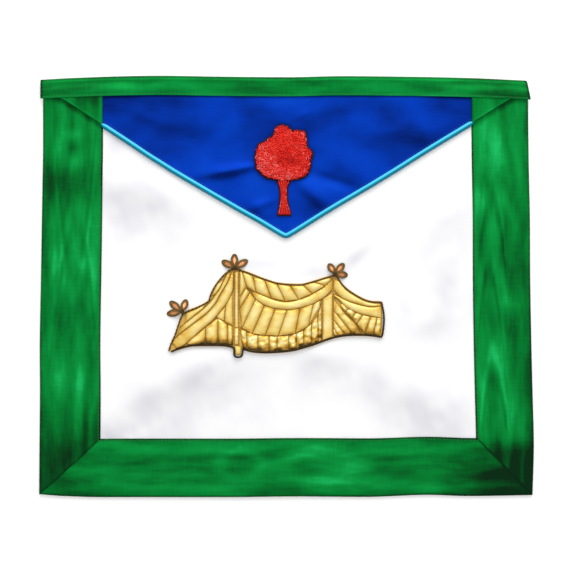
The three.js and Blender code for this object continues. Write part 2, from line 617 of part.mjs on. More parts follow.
function addTentFolds() {
  const upperOuter = FOLD_OUTER.slice(1, 4);
  const lowerOuter = FOLD_OUTER.slice(5, 9);
  const hoodEdge = LEFT_SIDE.slice(10, 13).reverse();
  const eaveEdge = LEFT_SIDE.slice(5, 9).reverse();
  addPiece('tent_fold_inner', goldLame, makeQuilt([FOLD_MIDDLE, FOLD_INNER], { cells: 11, rims: ['foot'] }));
  addPiece('tent_fold_outer', goldLame, makeQuilt(
    [FOLD_OUTER, FOLD_MIDDLE.slice(0, 10)], { cells: 10, puff: 0.85 * TENT_PUFF, rims: ['foot'] },
  ));
  addPiece('tent_hood', goldLame, makeQuilt(
    [hoodEdge, upperOuter], { cells: 4, puff: 0.7 * TENT_PUFF, rims: ['first'] },
  ));
  addPiece('tent_eave', goldLame, makeQuilt(
    [eaveEdge, lowerOuter], { cells: 5, puff: 0.8 * TENT_PUFF, rims: ['first', 'foot'] },
  ));
}

function addTentWalls() {
  const skirtHead = [...FOLD_INNER.slice(5, 10).reverse(), ...EAVE.slice(1)];
  const leftSkirt = seams(skirtHead, BASE, [
    [0.085, 0.09], [0.170, 0.170], [0.228, 0.228], [0.272, 0.272], [0.298, 0.298],
  ]);
  addPiece('tent_left_skirt', goldLame, makeQuilt(leftSkirt, { rims: ['foot'] }));

  const gussetHead = FOLD_INNER.slice(2, 6).reverse();
  const gusset = seams(gussetHead, EAVE, [[0.222, 0.222], [0.262, 0.258], [0.295, 0.299]]);
  addPiece('tent_gusset', goldLame, makeQuilt(gusset, { puff: 0.75 * TENT_PUFF }));

  const roof = [
    [on(RIDGE, 0.326), { u: 0.326, v: 0.69 }],
    [on(RIDGE, 0.338), { u: 0.360, v: 0.80 }],
    ...seams(RIDGE, SWAG_TOP, [
      [0.388, 0.405], [0.443, 0.475], [0.500, 0.540], [0.560, 0.602], [0.620, 0.665], [0.668, 0.725],
      [0.742, 0.756],
    ]),
  ];
  addPiece('tent_roof', goldLame, makeQuilt(roof, { rims: ['head'] }));

  const swag = [SWAG_FOOT.slice(1), SWAG_TOP.slice(1)];
  addPiece('tent_swag', goldLame, makeQuilt(swag, { cells: 12, puff: 1.1 * TENT_PUFF }));

  const drape = [
    [{ u: 0.356, v: 0.785 }, { u: 0.327, v: 0.665 }],
    [on(SWAG_FOOT, 0.377), { u: 0.328, v: 0.555 }],
    ...seams(SWAG_FOOT, DRAPE_FOOT, [
      [0.402, 0.338], [0.443, 0.386], [0.493, 0.446], [0.548, 0.507], [0.608, 0.586], [0.670, 0.647],
      [0.702, 0.702],
    ]),
  ];
  addPiece('tent_front_drape', goldLame, makeQuilt(drape));

  const frontSkirt = seams(DRAPE_FOOT, BASE, [
    [0.328, 0.350], [0.362, 0.362], [0.413, 0.413], [0.465, 0.465], [0.502, 0.502], [0.556, 0.556],
    [0.590, 0.590], [0.625, 0.625], [0.661, 0.661], [0.690, 0.694], [0.706, 0.710],
  ]);
  addPiece('tent_front_skirt', goldLame, makeQuilt(frontSkirt, { puff: 0.8 * TENT_PUFF, rims: ['foot'] }));
}

function addTentRight() {
  const roofFoot = [{ u: 0.762, v: 0.76 }, ...RIGHT_BREAK.slice(1)];
  const roof = [roofFoot, [{ u: 0.766, v: 0.885 }, ...RIDGE.slice(13)]];
  addPiece('tent_right_roof', goldLame, makeQuilt(roof, { cells: 9, rims: ['last', 'foot'] }));
  const swag = [RIGHT_SWAG_FOOT, RIGHT_BREAK];
  addPiece('tent_right_swag', goldLame, makeQuilt(swag, { cells: 9, rims: ['foot'] }));

  const rim = RIGHT_END.slice(0, 4).reverse();
  const drape = [
    [on(RIGHT_SWAG_FOOT, 0.800), on(RIGHT_FALL, 0.793)],
    ...seams(RIGHT_SWAG_FOOT, RIGHT_FALL, [[0.833, 0.815], [0.868, 0.842], [0.900, 0.868]]),
    [on(RIGHT_SWAG_FOOT, 0.935), on(BASE, 0.905)],
    [on(RIGHT_SWAG_FOOT, 0.966), on(BASE, 0.945)],
    [on(RIGHT_SWAG_FOOT, 0.993), rim.at(-1)],
  ];
  addPiece('tent_right_drape', goldLame, makeQuilt(drape, { puff: 0.8 * TENT_PUFF, rims: ['last', 'foot'] }));

  const skirt = [
    [{ u: 0.763, v: 0.27 }, on(BASE, 0.768)],
    [{ u: 0.763, v: 0.33 }, on(BASE, 0.787)],
    [{ u: 0.763, v: 0.42 }, on(BASE, 0.820)],
    [{ u: 0.764, v: 0.52 }, { u: 0.800, v: 0.42 }, on(BASE, 0.855)],
    [RIGHT_FALL[0], on(RIGHT_FALL, 0.815), on(RIGHT_FALL, 0.868), on(BASE, 0.898)],
  ];
  addPiece('tent_right_skirt', goldLame, makeQuilt(skirt, { puff: 0.85 * TENT_PUFF, rims: ['foot'] }));
}

function addTentPosts() {
  const near = [
    [{ u: 0.304, v: 0.97 }, { u: 0.305, v: 0.335 }],
    [{ u: 0.322, v: 0.97 }, { u: 0.323, v: 0.335 }],
  ];
  const tie = [
    [{ u: 0.302, v: 0.33 }, { u: 0.302, v: 0.14 }],
    [{ u: 0.326, v: 0.33 }, { u: 0.326, v: 0.14 }],
  ];
  const foot = [
    [{ u: 0.306, v: 0.135 }, { u: 0.313, v: 0.010 }],
    [{ u: 0.335, v: 0.115 }, { u: 0.331, v: 0.010 }],
  ];
  const far = [
    [on(SWAG_FOOT, 0.715), on(BASE, 0.713)],
    [{ u: 0.759, v: 0.72 }, on(BASE, 0.758)],
  ];
  addPiece('tent_near_post', goldLame, makeQuilt(near, { cells: 10, puff: POST_PUFF }));
  addPiece('tent_tie', goldLame, makeQuilt(tie, { puff: TENT_PUFF }));
  addPiece('tent_post_foot', goldLame, makeQuilt(foot, { puff: POST_PUFF, rims: ['foot'] }));
  addPiece('tent_far_post', goldLame, makeQuilt(far, { cells: 8, puff: POST_PUFF, rims: ['foot'] }));
}

// The cord couched round the tent, from its lower left tip round to the tip again
function makeOutline() {
  const footLeft = BASE.filter((p) => p.u < FOOT_OF_POST[0].u);
  const footRight = BASE.filter((p) => p.u > FOOT_OF_POST.at(-1).u);
  const round = [
    ...LEFT_SIDE.slice(0, -1), ...RIDGE, ...RIGHT_END.slice(1, -1).reverse(),
    ...footRight.reverse(), ...FOOT_OF_POST.slice().reverse(), ...footLeft.reverse().slice(0, -1),
    { u: BASE[0].u + 0.012, v: BASE[0].v - 0.01 },
  ];
  const z = TENT_BASE + OUTLINE_DIAMETER / 2;
  const points = round.map((p) => new THREE.Vector3(tentX(p.u), tentY(p.v), z));
  const extrudePath = new THREE.CatmullRomCurve3(points, false, 'centripetal');
  const section = new THREE.Shape();
  section.absarc(0, 0, OUTLINE_DIAMETER / 2, 0, 2 * Math.PI);
  return moved(new THREE.ExtrudeGeometry(section, { steps: 92, curveSegments: 3, extrudePath }), lay);
}

// The ground under the tent, which reaches half a cord beyond the outline
function makeTentBacking() {
  const columns = 24;
  const rows = 2;
  const even = 0.4;
  const wide = OUTLINE_DIAMETER / 2 / TENT_WIDTH;
  const high = OUTLINE_DIAMETER / 2 / TENT_HEIGHT;
  const head = [...LEFT_SIDE.slice(0, -1), ...RIDGE];
  return sheet(columns, rows, 1, (u, v, w) => {
    const crowded = (1 - Math.cos(Math.PI * u)) / 2;
    const at = lerp(head[0].u, head.at(-1).u, lerp(crowded, u, even)) + wide;
    const low = read(BASE, 'u', 'v', at) - high;
    const top = read(head, 'u', 'v', at) + high;
    return lay(tentX(at), tentY(lerp(low, top, v)), TENT_GROUND + w * TENT_BACKING_THICK);
  });
}

// One bow: three petals of looped cord, each filled with thread, round a knot on the outline cord, from
// which the petals come down to the panel
function makeBow(bow) {
  const x = tentX(bow.u);
  const y = tentY(bow.v);
  const base = TENT_BASE + OUTLINE_DIAMETER + GAP;
  const settle = (reach) => (base - TENT_GROUND) * smooth(KNOT_DIAMETER / 2, 1.7 * PETAL_WIDTH, reach);
  const facets = 10;
  const pinched = 0.3;
  const section = table(['out', 'high'], [
    [0, 0.15], [0.75, 0], [1, 0.5], [0.8, 1], [0.5, 0.6], [0, 0.6],
  ]);
  const petal = ([turn, length]) => {
    const reach = (length * PETAL_WIDTH) / 2;
    const disc = new THREE.LatheGeometry(section.map((p) => new THREE.Vector2(p.out, p.high)), facets);
    const shaped = moved(disc, (px, high, pz) => {
      const out = Math.hypot(px, pz);
      const around = Math.atan2(-pz, px);
      const wide = (PETAL_WIDTH / 2) * lerp(pinched, 1, smooth(-1, 0.5, Math.cos(around)));
      return [reach * (1 + out * Math.cos(around)), wide * out * Math.sin(around), high * BOW_CORD];
    });
    return shaped.rotateZ(radians(turn));
  };
  const knot = new THREE.SphereGeometry(KNOT_DIAMETER / 2, 8, 5);
  knot.scale(1, 1, BOW_CORD / KNOT_DIAMETER);
  knot.translate(0, 0, BOW_CORD / 2);
  const whole = joined([knot, ...bow.petals.map(petal)]);
  return moved(whole, (px, py, pz) => lay(x + px, y + py, base + pz - settle(Math.hypot(px, py))));
}

addPiece('satin_panel', whiteSatin, makePanel());
addBorders();
addPiece('top_band', greenRibbon, makeBand());
addPiece('flap', blueSatin, makeFlap());
addPiece('flap_corner_left', greenRibbon, makeFlapCorner(-1, BORDER_LEFT));
addPiece('flap_corner_right', greenRibbon, makeFlapCorner(1, BORDER_RIGHT));
addPiece('flap_piping', turquoiseSatin, makePiping());
addTree();
addPiece('tent_backing', goldFelt, makeTentBacking());
addTentFolds();
addTentWalls();
addTentRight();
addTentPosts();
addPiece('tent_outline_cord', umberGimp, makeOutline());
for (const bow of BOWS) addPiece(bow.name, copperGimp, makeBow(bow));

export default apron;
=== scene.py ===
# A ceremonial apron lying flat and face up: white satin bordered with watered green ribbon, a blue satin flap
# with turquoise piping and a tree in red chip work, and a padded gold tent below it.
# Lengths are in millimetres until a mesh is made. X runs across the apron, Y up towards its waist band.

import math

import bpy
import numpy as np
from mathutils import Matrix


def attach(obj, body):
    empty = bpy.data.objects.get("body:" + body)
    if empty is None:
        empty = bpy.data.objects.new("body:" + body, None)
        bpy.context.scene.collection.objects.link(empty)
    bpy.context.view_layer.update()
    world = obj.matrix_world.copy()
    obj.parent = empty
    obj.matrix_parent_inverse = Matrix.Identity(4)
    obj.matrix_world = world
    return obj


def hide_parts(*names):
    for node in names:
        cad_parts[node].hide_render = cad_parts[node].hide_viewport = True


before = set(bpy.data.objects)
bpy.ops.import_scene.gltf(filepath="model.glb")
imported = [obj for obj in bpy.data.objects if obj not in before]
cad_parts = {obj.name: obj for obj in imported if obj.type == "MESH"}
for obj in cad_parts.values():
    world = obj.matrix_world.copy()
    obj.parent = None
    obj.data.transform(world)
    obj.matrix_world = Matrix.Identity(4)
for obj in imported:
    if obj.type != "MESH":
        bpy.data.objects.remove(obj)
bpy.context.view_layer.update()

# Metres to a millimetre, the least length that is divided by, and the seed that random draws start from
MM = 0.001
NEARLY_ZERO = 1e-9
SEED = 5
UP = np.array([0.0, 0.0, 1.0])

# Cut of the apron, as its frame has it
APRON_WIDTH = 411
APRON_LENGTH = 350
BORDER_LEFT = 50.5
BORDER_RIGHT = 48
BORDER_BOTTOM = 48.5
TURN_IN = 12
BAND_FRONT = 16
BAND_BACK = 12
BAND_OVERHANG = 1.6
BAND_LEAN = 3
BAND_STEPS = 22
FLAP_DROP = 135.5
FLAP_MARGIN = 11.5
CORNER_INSET = 1.8

# Cloth and cord
RIBBON_THICK = 1
PANEL_THICK = 1.6
FLAP_THICK = 1.2
PIPING_DIAMETER = 4.4
GAP = 0.3
FLOOR_GAP = 0.1
BLUNT_END = 2.5
FLAP_TUCK = 0.6
THREAD_RADIUS = 0.22
STITCH_LENGTH = 2.0
STITCH_PITCH = 2.8
STITCH_INSET = 1.5

# How far the cloth departs from flat and straight
EDGE_WANDER = 5
WAVE_HEIGHT = 1.1
DENT_HEIGHT = 2.4
SAG_SPAN = 70
MARK_SPREAD = 66
FOLD_HEIGHT = 1.5
CREASE_HEIGHT = 1.5
FLAP_SAG = 4.4

# Tree on the flap
TREE_WIDTH = 50.2
TREE_HEIGHT = 76.5
TREE_OFFSET = -1.9
TREE_FOOT = 20
FELT_RIM = 1.1
TREE_BACKING_THICK = 1
CROWN_PUFF = 3.0
TRUNK_PUFF = 1.6
CHIP_LENGTH = 2.5
CHIP_RADIUS = 0.5
CHIP_PITCH = 1.32

# Tent on the panel
TENT_WIDTH = 180.6
TENT_HEIGHT = 73
TENT_OFFSET = -7.4
TENT_FOOT = 116.8
TENT_BACKING_THICK = 1
TENT_PUFF = 2.4
TENT_STEP = 0.4
SEAM_THICK = 0.7
SEAM_GAP = 0.3
RIM_GAP = 0.1
SEAM_THREAD = 0.3
OUTLINE_DIAMETER = 1.9
POST_PUFF = 1.7

# Bows of cord on the tent
BOW_CORD = 1.3
PETAL_WIDTH = 6.3
KNOT_DIAMETER = 4

# Levels of the layers above the table, where the apron lies flat
PANEL_BASE = RIBBON_THICK + GAP
PANEL_TOP = PANEL_BASE + PANEL_THICK
BORDER_BASE = PANEL_TOP + GAP
BORDER_TOP = BORDER_BASE + RIBBON_THICK
FLAP_BASE = BORDER_TOP + GAP
FLAP_TOP = FLAP_BASE + FLAP_THICK
CORNER_BASE = FLAP_TOP + GAP
CORNER_TOP = CORNER_BASE + RIBBON_THICK
BAND_BASE = FLAP_TOP + GAP
BAND_TOP = BAND_BASE + RIBBON_THICK
TENT_GROUND = PANEL_TOP + GAP
TENT_BASE = TENT_GROUND + TENT_BACKING_THICK + GAP
TREE_GROUND = FLAP_TOP + GAP
TREE_BASE = TREE_GROUND + TREE_BACKING_THICK + GAP

# Places that several pieces share
HALF_WIDTH = APRON_WIDTH / 2
HALF_LENGTH = APRON_LENGTH / 2
BORDER_FOLD = BORDER_TOP / 2
BAND_FOLD = BAND_TOP / 2
UNDER_BAND = HALF_LENGTH - BAND_BACK - GAP
TIP_Y = HALF_LENGTH - FLAP_DROP
FLAP_SPREAD = HALF_WIDTH - FLAP_MARGIN
FLAP_SLOPE = (FLAP_DROP - BAND_FRONT) / FLAP_SPREAD
SLANT = math.hypot(1, FLAP_SLOPE)
PIPING_RADIUS = PIPING_DIAMETER / 2
FLAP_INSET = PIPING_DIAMETER - FLAP_TUCK


def table(columns, rows):
    """Rows of numbers as dictionaries of named columns."""
    return [dict(zip(columns, row)) for row in rows]


# How far each edge lies inside the straight cut, as a share of EDGE_WANDER, at shares of that edge's length
LEFT_EDGE = table(("at", "by"), [
    (0.00, 0.00), (0.12, 0.06), (0.26, 0.14), (0.34, 0.10), (0.55, 0.34), (0.73, 0.54), (0.85, 0.66),
    (1.00, 0.64),
])
RIGHT_EDGE = table(("at", "by"), [
    (0.00, 0.22), (0.12, 0.00), (0.25, 0.22), (0.38, 0.44), (0.55, 0.62), (0.65, 0.64), (0.81, 0.86),
    (1.00, 1.00),
])
TOP_EDGE = table(("at", "by"), [
    (0.00, 0.64), (0.06, 0.38), (0.17, 0.08), (0.24, 0.00), (0.36, 0.14), (0.50, 0.24), (0.62, 0.06),
    (0.75, 0.16), (0.88, 0.38), (1.00, 0.82),
])
BOTTOM_EDGE = table(("at", "by"), [
    (0.00, 0.48), (0.05, 0.18), (0.13, 0.00), (0.38, 0.00), (0.52, 0.12), (0.66, 0.04), (0.79, 0.38),
    (0.87, 0.18), (1.00, 0.34),
])

# How far each half of the flap's edge hangs below a straight line, as a share of FLAP_SAG, at shares of
# FLAP_SPREAD from the tip
FLAP_EDGE = table(("at", "left", "right"), [
    (0.00, 0.00, 0.00), (0.10, 0.04, 0.00), (0.20, 0.30, 0.06), (0.30, 0.55, 0.22), (0.40, 0.78, 0.36),
    (0.50, 0.98, 0.42), (0.58, 1.00, 0.38), (0.68, 0.80, 0.35), (0.78, 0.58, 0.33), (0.90, 0.24, 0.16),
    (1.00, 0.00, 0.00),
])

# Broad soft waves of the whole apron, and dents between them: centre as shares of its width and length, reach
# along and across as shares of its width, turn in degrees, height as a share of WAVE_HEIGHT or DENT_HEIGHT
WAVE_COLUMNS = ("u", "v", "long", "wide", "turn", "high")
WAVES = table(WAVE_COLUMNS, [
    (0.24, 0.76, 0.12, 0.050, -22, 1.00),
    (0.33, 0.30, 0.16, 0.055, 18, 0.90),
    (0.62, 0.29, 0.14, 0.050, -14, 0.85),
    (0.78, 0.24, 0.12, 0.060, -38, 0.70),
    (0.84, 0.64, 0.13, 0.055, 72, 0.80),
    (0.15, 0.45, 0.16, 0.060, 84, 0.45),
    (0.02, 0.62, 0.12, 0.050, 90, 0.55),
    (0.98, 0.36, 0.14, 0.050, 90, 0.60),
    (0.46, 0.02, 0.16, 0.050, 0, 0.50),
])
DENTS = table(WAVE_COLUMNS, [
    (0.230, 0.722, 0.078, 0.030, -28, 1.00),
    (0.150, 0.742, 0.050, 0.026, -34, 0.70),
    (0.301, 0.300, 0.110, 0.032, 24, 1.00),
    (0.180, 0.225, 0.080, 0.030, 36, 0.60),
    (0.577, 0.340, 0.055, 0.026, -12, 0.80),
    (0.800, 0.206, 0.095, 0.032, -40, 1.10),
    (0.812, 0.660, 0.070, 0.030, 58, 0.80),
    (0.638, 0.583, 0.030, 0.012, 35, 0.25),
    (0.776, 0.412, 0.070, 0.026, 15, 0.40),
])

# Greyer patches where the panel's satin turns from the light, as the dents are given
SHADES = table(WAVE_COLUMNS, [
    (0.228, 0.690, 0.100, 0.070, -24, 0.50),
    (0.160, 0.705, 0.070, 0.100, 0, 0.42),
    (0.149, 0.853, 0.024, 0.030, 0, 0.45),
    (0.835, 0.620, 0.120, 0.060, 80, 0.42),
    (0.810, 0.430, 0.110, 0.060, 15, 0.38),
    (0.655, 0.575, 0.050, 0.016, 35, 0.60),
    (0.570, 0.537, 0.050, 0.014, 0, 0.60),
    (0.440, 0.555, 0.050, 0.016, 0, 0.35),
    (0.348, 0.276, 0.100, 0.055, 18, 0.55),
    (0.230, 0.210, 0.110, 0.070, 28, 0.42),
    (0.180, 0.150, 0.120, 0.030, 0, 0.55),
    (0.560, 0.304, 0.085, 0.040, -5, 0.46),
    (0.690, 0.250, 0.100, 0.050, -28, 0.36),
    (0.768, 0.178, 0.090, 0.050, -25, 0.60),
    (0.840, 0.200, 0.060, 0.080, 0, 0.38),
    (0.500, 0.120, 0.400, 0.022, 0, 0.42),
    (0.440, 0.200, 0.120, 0.050, -10, 0.22),
])

# Folds of the flap round the stiff tree, and sharper creases between them: place, reach along and across as
# shares of FLAP_SPREAD, turn in degrees, height as a share of FOLD_HEIGHT or CREASE_HEIGHT. The glows are
# where its satin shines more, or less
FOLD_COLUMNS = ("x", "y", "long", "wide", "turn", "high")
FOLDS = table(FOLD_COLUMNS, [
    (-0.27, 0.30, 0.100, 0.034, 9, 1.00),
    (-0.12, 0.13, 0.060, 0.030, -24, 0.60),
    (0.14, 0.19, 0.075, 0.034, -40, 1.00),
    (0.28, 0.30, 0.110, 0.045, -33, 0.75),
    (0.12, 0.54, 0.090, 0.034, 27, 0.45),
    (-0.45, 0.48, 0.170, 0.080, -30, 0.55),
    (0.60, 0.47, 0.140, 0.060, 24, 0.45),
])
GLOWS = table(FOLD_COLUMNS, [
    (-0.311, 0.411, 0.140, 0.050, 54, 0.40),
    (-0.130, 0.220, 0.100, 0.050, 20, 0.22),
    (0.154, 0.229, 0.090, 0.035, -20, 0.35),
    (0.340, 0.353, 0.080, 0.060, 0, 0.30),
    (-0.028, 0.588, 0.100, 0.022, 0, 0.35),
    (0.000, 0.060, 0.110, 0.050, 0, 0.50),
    (-0.434, 0.492, 0.110, 0.060, 20, -0.25),
    (0.272, 0.560, 0.130, 0.030, 10, -0.25),
])
CREASES = table(FOLD_COLUMNS, [
    (-0.255, 0.292, 0.100, 0.020, 9, 1.10),
    (-0.170, 0.312, 0.050, 0.014, 10, 0.50),
    (0.092, 0.209, 0.070, 0.024, -45, 0.62),
    (0.205, 0.248, 0.120, 0.024, -19, -0.85),
    (0.083, 0.545, 0.060, 0.016, 29, 0.65),
    (0.245, 0.562, 0.110, 0.020, 3, 0.40),
    (-0.100, 0.154, 0.060, 0.020, 20, 0.75),
    (-0.413, 0.424, 0.170, 0.060, -15, -0.90),
    (-0.300, 0.545, 0.110, 0.040, 20, 0.45),
    (0.765, 0.585, 0.070, 0.024, -38, 0.55),
    (0.480, 0.480, 0.120, 0.045, 24, 0.45),
    (-0.640, 0.560, 0.100, 0.030, -36, 0.45),
])

# Reach of the tree's crown from its middle, as a share of the middle's reaches wide and high, at angles in
# degrees
CROWN = table(("at", "reach"), [
    (-180, 0.93), (-166, 0.95), (-153, 0.99), (-143, 0.97), (-126, 0.94), (-113, 0.86), (-98, 0.85),
    (-70, 0.88), (-53, 0.97), (-40, 1.03), (-24, 1.00), (-12, 0.96), (0, 0.99), (10, 0.94), (18, 0.86),
    (28, 0.90), (40, 1.01), (47, 1.05), (55, 0.96), (61, 0.93), (67, 0.84), (76, 0.91), (92, 0.98),
    (103, 0.93), (112, 0.79), (119, 0.71), (136, 0.73), (147, 0.77), (155, 0.87), (167, 0.89), (180, 0.93),
])
CROWN_MIDDLE = {"u": 0.49, "v": 0.66, "reach_u": 0.5, "reach_v": 0.33}

# Edges of the trunk from its foot up, as shares of the tree's height and width
TRUNK = table(("v", "left", "right"), [
    (0.01, 0.41, 0.61), (0.05, 0.42, 0.60), (0.12, 0.44, 0.57), (0.22, 0.45, 0.55), (0.30, 0.44, 0.55),
    (0.36, 0.41, 0.59),
])

# Lines of the tent, as shares of its width and height from its lower left
LEFT_SIDE = table(("u", "v"), [
    (0.000, 0.065), (0.012, 0.15), (0.030, 0.25), (0.046, 0.37), (0.060, 0.46), (0.075, 0.50),
    (0.105, 0.535), (0.140, 0.57), (0.170, 0.61), (0.186, 0.64), (0.191, 0.69), (0.203, 0.76),
    (0.220, 0.83), (0.242, 0.90), (0.262, 0.95), (0.285, 0.99),
])
RIDGE = table(("u", "v"), [
    (0.285, 0.99), (0.310, 1.00), (0.345, 0.975), (0.380, 0.945), (0.420, 0.905), (0.460, 0.87),
    (0.500, 0.84), (0.550, 0.825), (0.610, 0.82), (0.650, 0.84), (0.700, 0.875), (0.740, 0.905),
    (0.775, 0.92), (0.790, 0.87), (0.805, 0.82), (0.830, 0.76), (0.870, 0.695), (0.910, 0.645),
    (0.945, 0.622), (0.984, 0.615),
])
BASE = table(("u", "v"), [
    (0.000, 0.065), (0.040, 0.085), (0.080, 0.115), (0.120, 0.13), (0.200, 0.135), (0.260, 0.13),
    (0.300, 0.115), (0.345, 0.09), (0.390, 0.06), (0.450, 0.05), (0.510, 0.055), (0.570, 0.07),
    (0.620, 0.10), (0.680, 0.145), (0.730, 0.19), (0.780, 0.225), (0.840, 0.245), (0.900, 0.247),
    (0.950, 0.237), (0.984, 0.225),
])
RIGHT_END = table(("u", "v"), [
    (0.984, 0.225), (0.993, 0.30), (0.997, 0.40), (0.996, 0.49), (0.991, 0.56), (0.984, 0.615),
])
FOOT_OF_POST = table(("u", "v"), [
    (0.300, 0.10), (0.303, 0.025), (0.312, 0.00), (0.331, 0.00), (0.340, 0.025), (0.344, 0.08),
])
FOLD_INNER = table(("u", "v"), [
    (0.300, 0.965), (0.299, 0.86), (0.297, 0.76), (0.280, 0.66), (0.255, 0.56), (0.218, 0.45),
    (0.180, 0.36), (0.140, 0.28), (0.105, 0.20), (0.070, 0.13), (0.030, 0.095),
])
FOLD_MIDDLE = table(("u", "v"), [
    (0.288, 0.965), (0.275, 0.87), (0.255, 0.78), (0.236, 0.70), (0.216, 0.61), (0.180, 0.505),
    (0.145, 0.435), (0.105, 0.36), (0.065, 0.285), (0.032, 0.215), (0.014, 0.145),
])
FOLD_OUTER = table(("u", "v"), [
    (0.268, 0.945), (0.252, 0.87), (0.235, 0.78), (0.215, 0.71), (0.193, 0.635), (0.160, 0.55),
    (0.125, 0.48), (0.096, 0.42), (0.070, 0.37), (0.050, 0.33),
])
EAVE = table(("u", "v"), [
    (0.218, 0.45), (0.236, 0.435), (0.260, 0.40), (0.280, 0.365), (0.300, 0.35),
])
SWAG_TOP = table(("u", "v"), [
    (0.360, 0.80), (0.385, 0.755), (0.440, 0.70), (0.480, 0.66), (0.520, 0.635), (0.560, 0.63),
    (0.600, 0.65), (0.640, 0.685), (0.680, 0.735), (0.715, 0.785), (0.745, 0.85), (0.762, 0.89),
])
SWAG_FOOT = table(("u", "v"), [
    (0.360, 0.79), (0.385, 0.715), (0.405, 0.65), (0.430, 0.605), (0.460, 0.57), (0.500, 0.545),
    (0.540, 0.535), (0.580, 0.54), (0.620, 0.56), (0.660, 0.59), (0.700, 0.64), (0.730, 0.69),
    (0.757, 0.76),
])
DRAPE_FOOT = table(("u", "v"), [
    (0.325, 0.34), (0.345, 0.32), (0.370, 0.275), (0.410, 0.25), (0.460, 0.24), (0.500, 0.235),
    (0.550, 0.24), (0.590, 0.265), (0.630, 0.31), (0.660, 0.38), (0.690, 0.47), (0.708, 0.62),
])
RIGHT_BREAK = table(("u", "v"), [
    (0.762, 0.72), (0.800, 0.67), (0.840, 0.625), (0.880, 0.595), (0.920, 0.572), (0.955, 0.565),
    (0.990, 0.58),
])
RIGHT_SWAG_FOOT = table(("u", "v"), [
    (0.762, 0.69), (0.790, 0.64), (0.810, 0.585), (0.840, 0.535), (0.870, 0.50), (0.900, 0.475),
    (0.940, 0.455), (0.994, 0.435),
])
RIGHT_FALL = table(("u", "v"), [
    (0.764, 0.67), (0.785, 0.58), (0.815, 0.50), (0.840, 0.43), (0.870, 0.36), (0.900, 0.262),
])

# Bows on the tent: place of each knot as shares of the tent, then the direction in degrees and the length in
# petal widths of three petals
BOWS = table(("name", "u", "v", "petals"), [
    ("finial_left", 0.062, 0.510, ((141, 2.15), (72, 1.7), (188, 2.05))),
    ("finial_near", 0.304, 1.014, ((92, 1.85), (152, 1.95), (31, 2.0))),
    ("finial_far", 0.770, 0.938, ((121, 1.6), (49, 1.85), (-4, 1.7))),
])

# Light and dark marks of the watered ribbon, ribbon by ribbon, with painted shade in the dark marks at the
# lower corners, where the ribbon turns from the light: centre as shares of the apron's width and length,
# reach along and across as shares of MARK_SPREAD, turn in degrees, strength from dark to light
LEFT_MARKS = table(WAVE_COLUMNS, [
    (0.032, 0.828, 0.30, 0.11, 90, 0.45),
    (0.061, 0.864, 0.09, 0.08, 0, 0.60),
    (0.063, 0.832, 0.11, 0.07, 90, -0.35),
    (0.067, 0.800, 0.12, 0.09, 90, 0.60),
    (0.107, 0.812, 0.22, 0.07, 90, 0.30),
    (0.026, 0.758, 0.32, 0.26, 0, -0.42),
    (0.075, 0.742, 0.60, 0.24, 0, -0.24),
    (0.022, 0.700, 0.60, 0.10, 90, -0.30),
    (0.039, 0.688, 0.30, 0.08, 90, 0.35),
    (0.057, 0.690, 0.28, 0.08, 90, -0.35),
    (0.083, 0.610, 0.65, 0.18, 90, 0.45),
    (0.085, 0.560, 0.14, 0.09, 90, 0.40),
    (0.039, 0.570, 0.42, 0.10, 84, 0.36),
    (0.107, 0.548, 0.24, 0.07, 96, 0.48),
    (0.051, 0.487, 0.35, 0.06, -77, 0.30),
    (0.103, 0.487, 0.35, 0.06, 83, 0.32),
    (0.077, 0.449, 0.36, 0.17, 90, -0.34),
    (0.037, 0.418, 0.24, 0.13, 90, -0.30),
    (0.081, 0.345, 0.35, 0.15, 90, 0.20),
    (0.068, 0.276, 0.28, 0.26, 0, 0.42),
    (0.036, 0.250, 0.40, 0.07, 84, 0.20),
    (0.055, 0.272, 0.10, 0.16, 0, 0.22),
    (0.022, 0.136, 0.50, 0.20, 90, -0.25),
    (0.050, 0.086, 0.85, 0.30, 42, -0.50),
    (0.100, 0.140, 0.30, 0.12, 60, -0.25),
    (0.098, 0.962, 0.16, 0.18, 0, -0.80),
    (0.124, 0.930, 0.40, 0.07, 90, 0.50),
])
RIGHT_MARKS = table(WAVE_COLUMNS, [
    (0.925, 0.819, 0.34, 0.22, 90, 0.70),
    (0.917, 0.878, 0.26, 0.20, 0, 0.35),
    (0.957, 0.840, 0.65, 0.07, -80, -0.50),
    (0.972, 0.835, 0.42, 0.06, -83, 0.38),
    (0.980, 0.733, 0.38, 0.06, -83, 0.32),
    (0.919, 0.752, 0.15, 0.15, 0, -0.65),
    (0.896, 0.707, 0.32, 0.10, 76, 0.50),
    (0.949, 0.703, 0.48, 0.07, -67, 0.45),
    (0.905, 0.534, 0.48, 0.06, 76, -0.38),
    (0.929, 0.534, 0.48, 0.06, -73, -0.38),
    (0.897, 0.503, 0.46, 0.06, 84, 0.42),
    (0.943, 0.503, 0.46, 0.06, -78, 0.46),
    (0.961, 0.570, 0.60, 0.07, 90, -0.35),
    (0.948, 0.466, 0.11, 0.07, 90, 0.42),
    (0.972, 0.463, 0.12, 0.08, 90, 0.48),
    (0.925, 0.416, 0.30, 0.22, 0, -0.22),
    (0.920, 0.352, 0.34, 0.20, 90, 0.30),
    (0.908, 0.262, 0.55, 0.07, 78, 0.42),
    (0.936, 0.262, 0.55, 0.07, -75, 0.42),
    (0.950, 0.150, 0.36, 0.06, 86, 0.35),
    (0.921, 0.268, 0.34, 0.09, 90, -0.36),
    (0.921, 0.190, 0.34, 0.07, 90, 0.50),
    (0.965, 0.215, 0.60, 0.07, -80, 0.50),
    (0.990, 0.260, 1.00, 0.12, 90, -0.40),
    (0.986, 0.560, 0.90, 0.08, 90, -0.30),
    (0.955, 0.390, 0.50, 0.08, 90, -0.30),
    (0.975, 0.060, 0.60, 0.70, 0, -0.32),
])
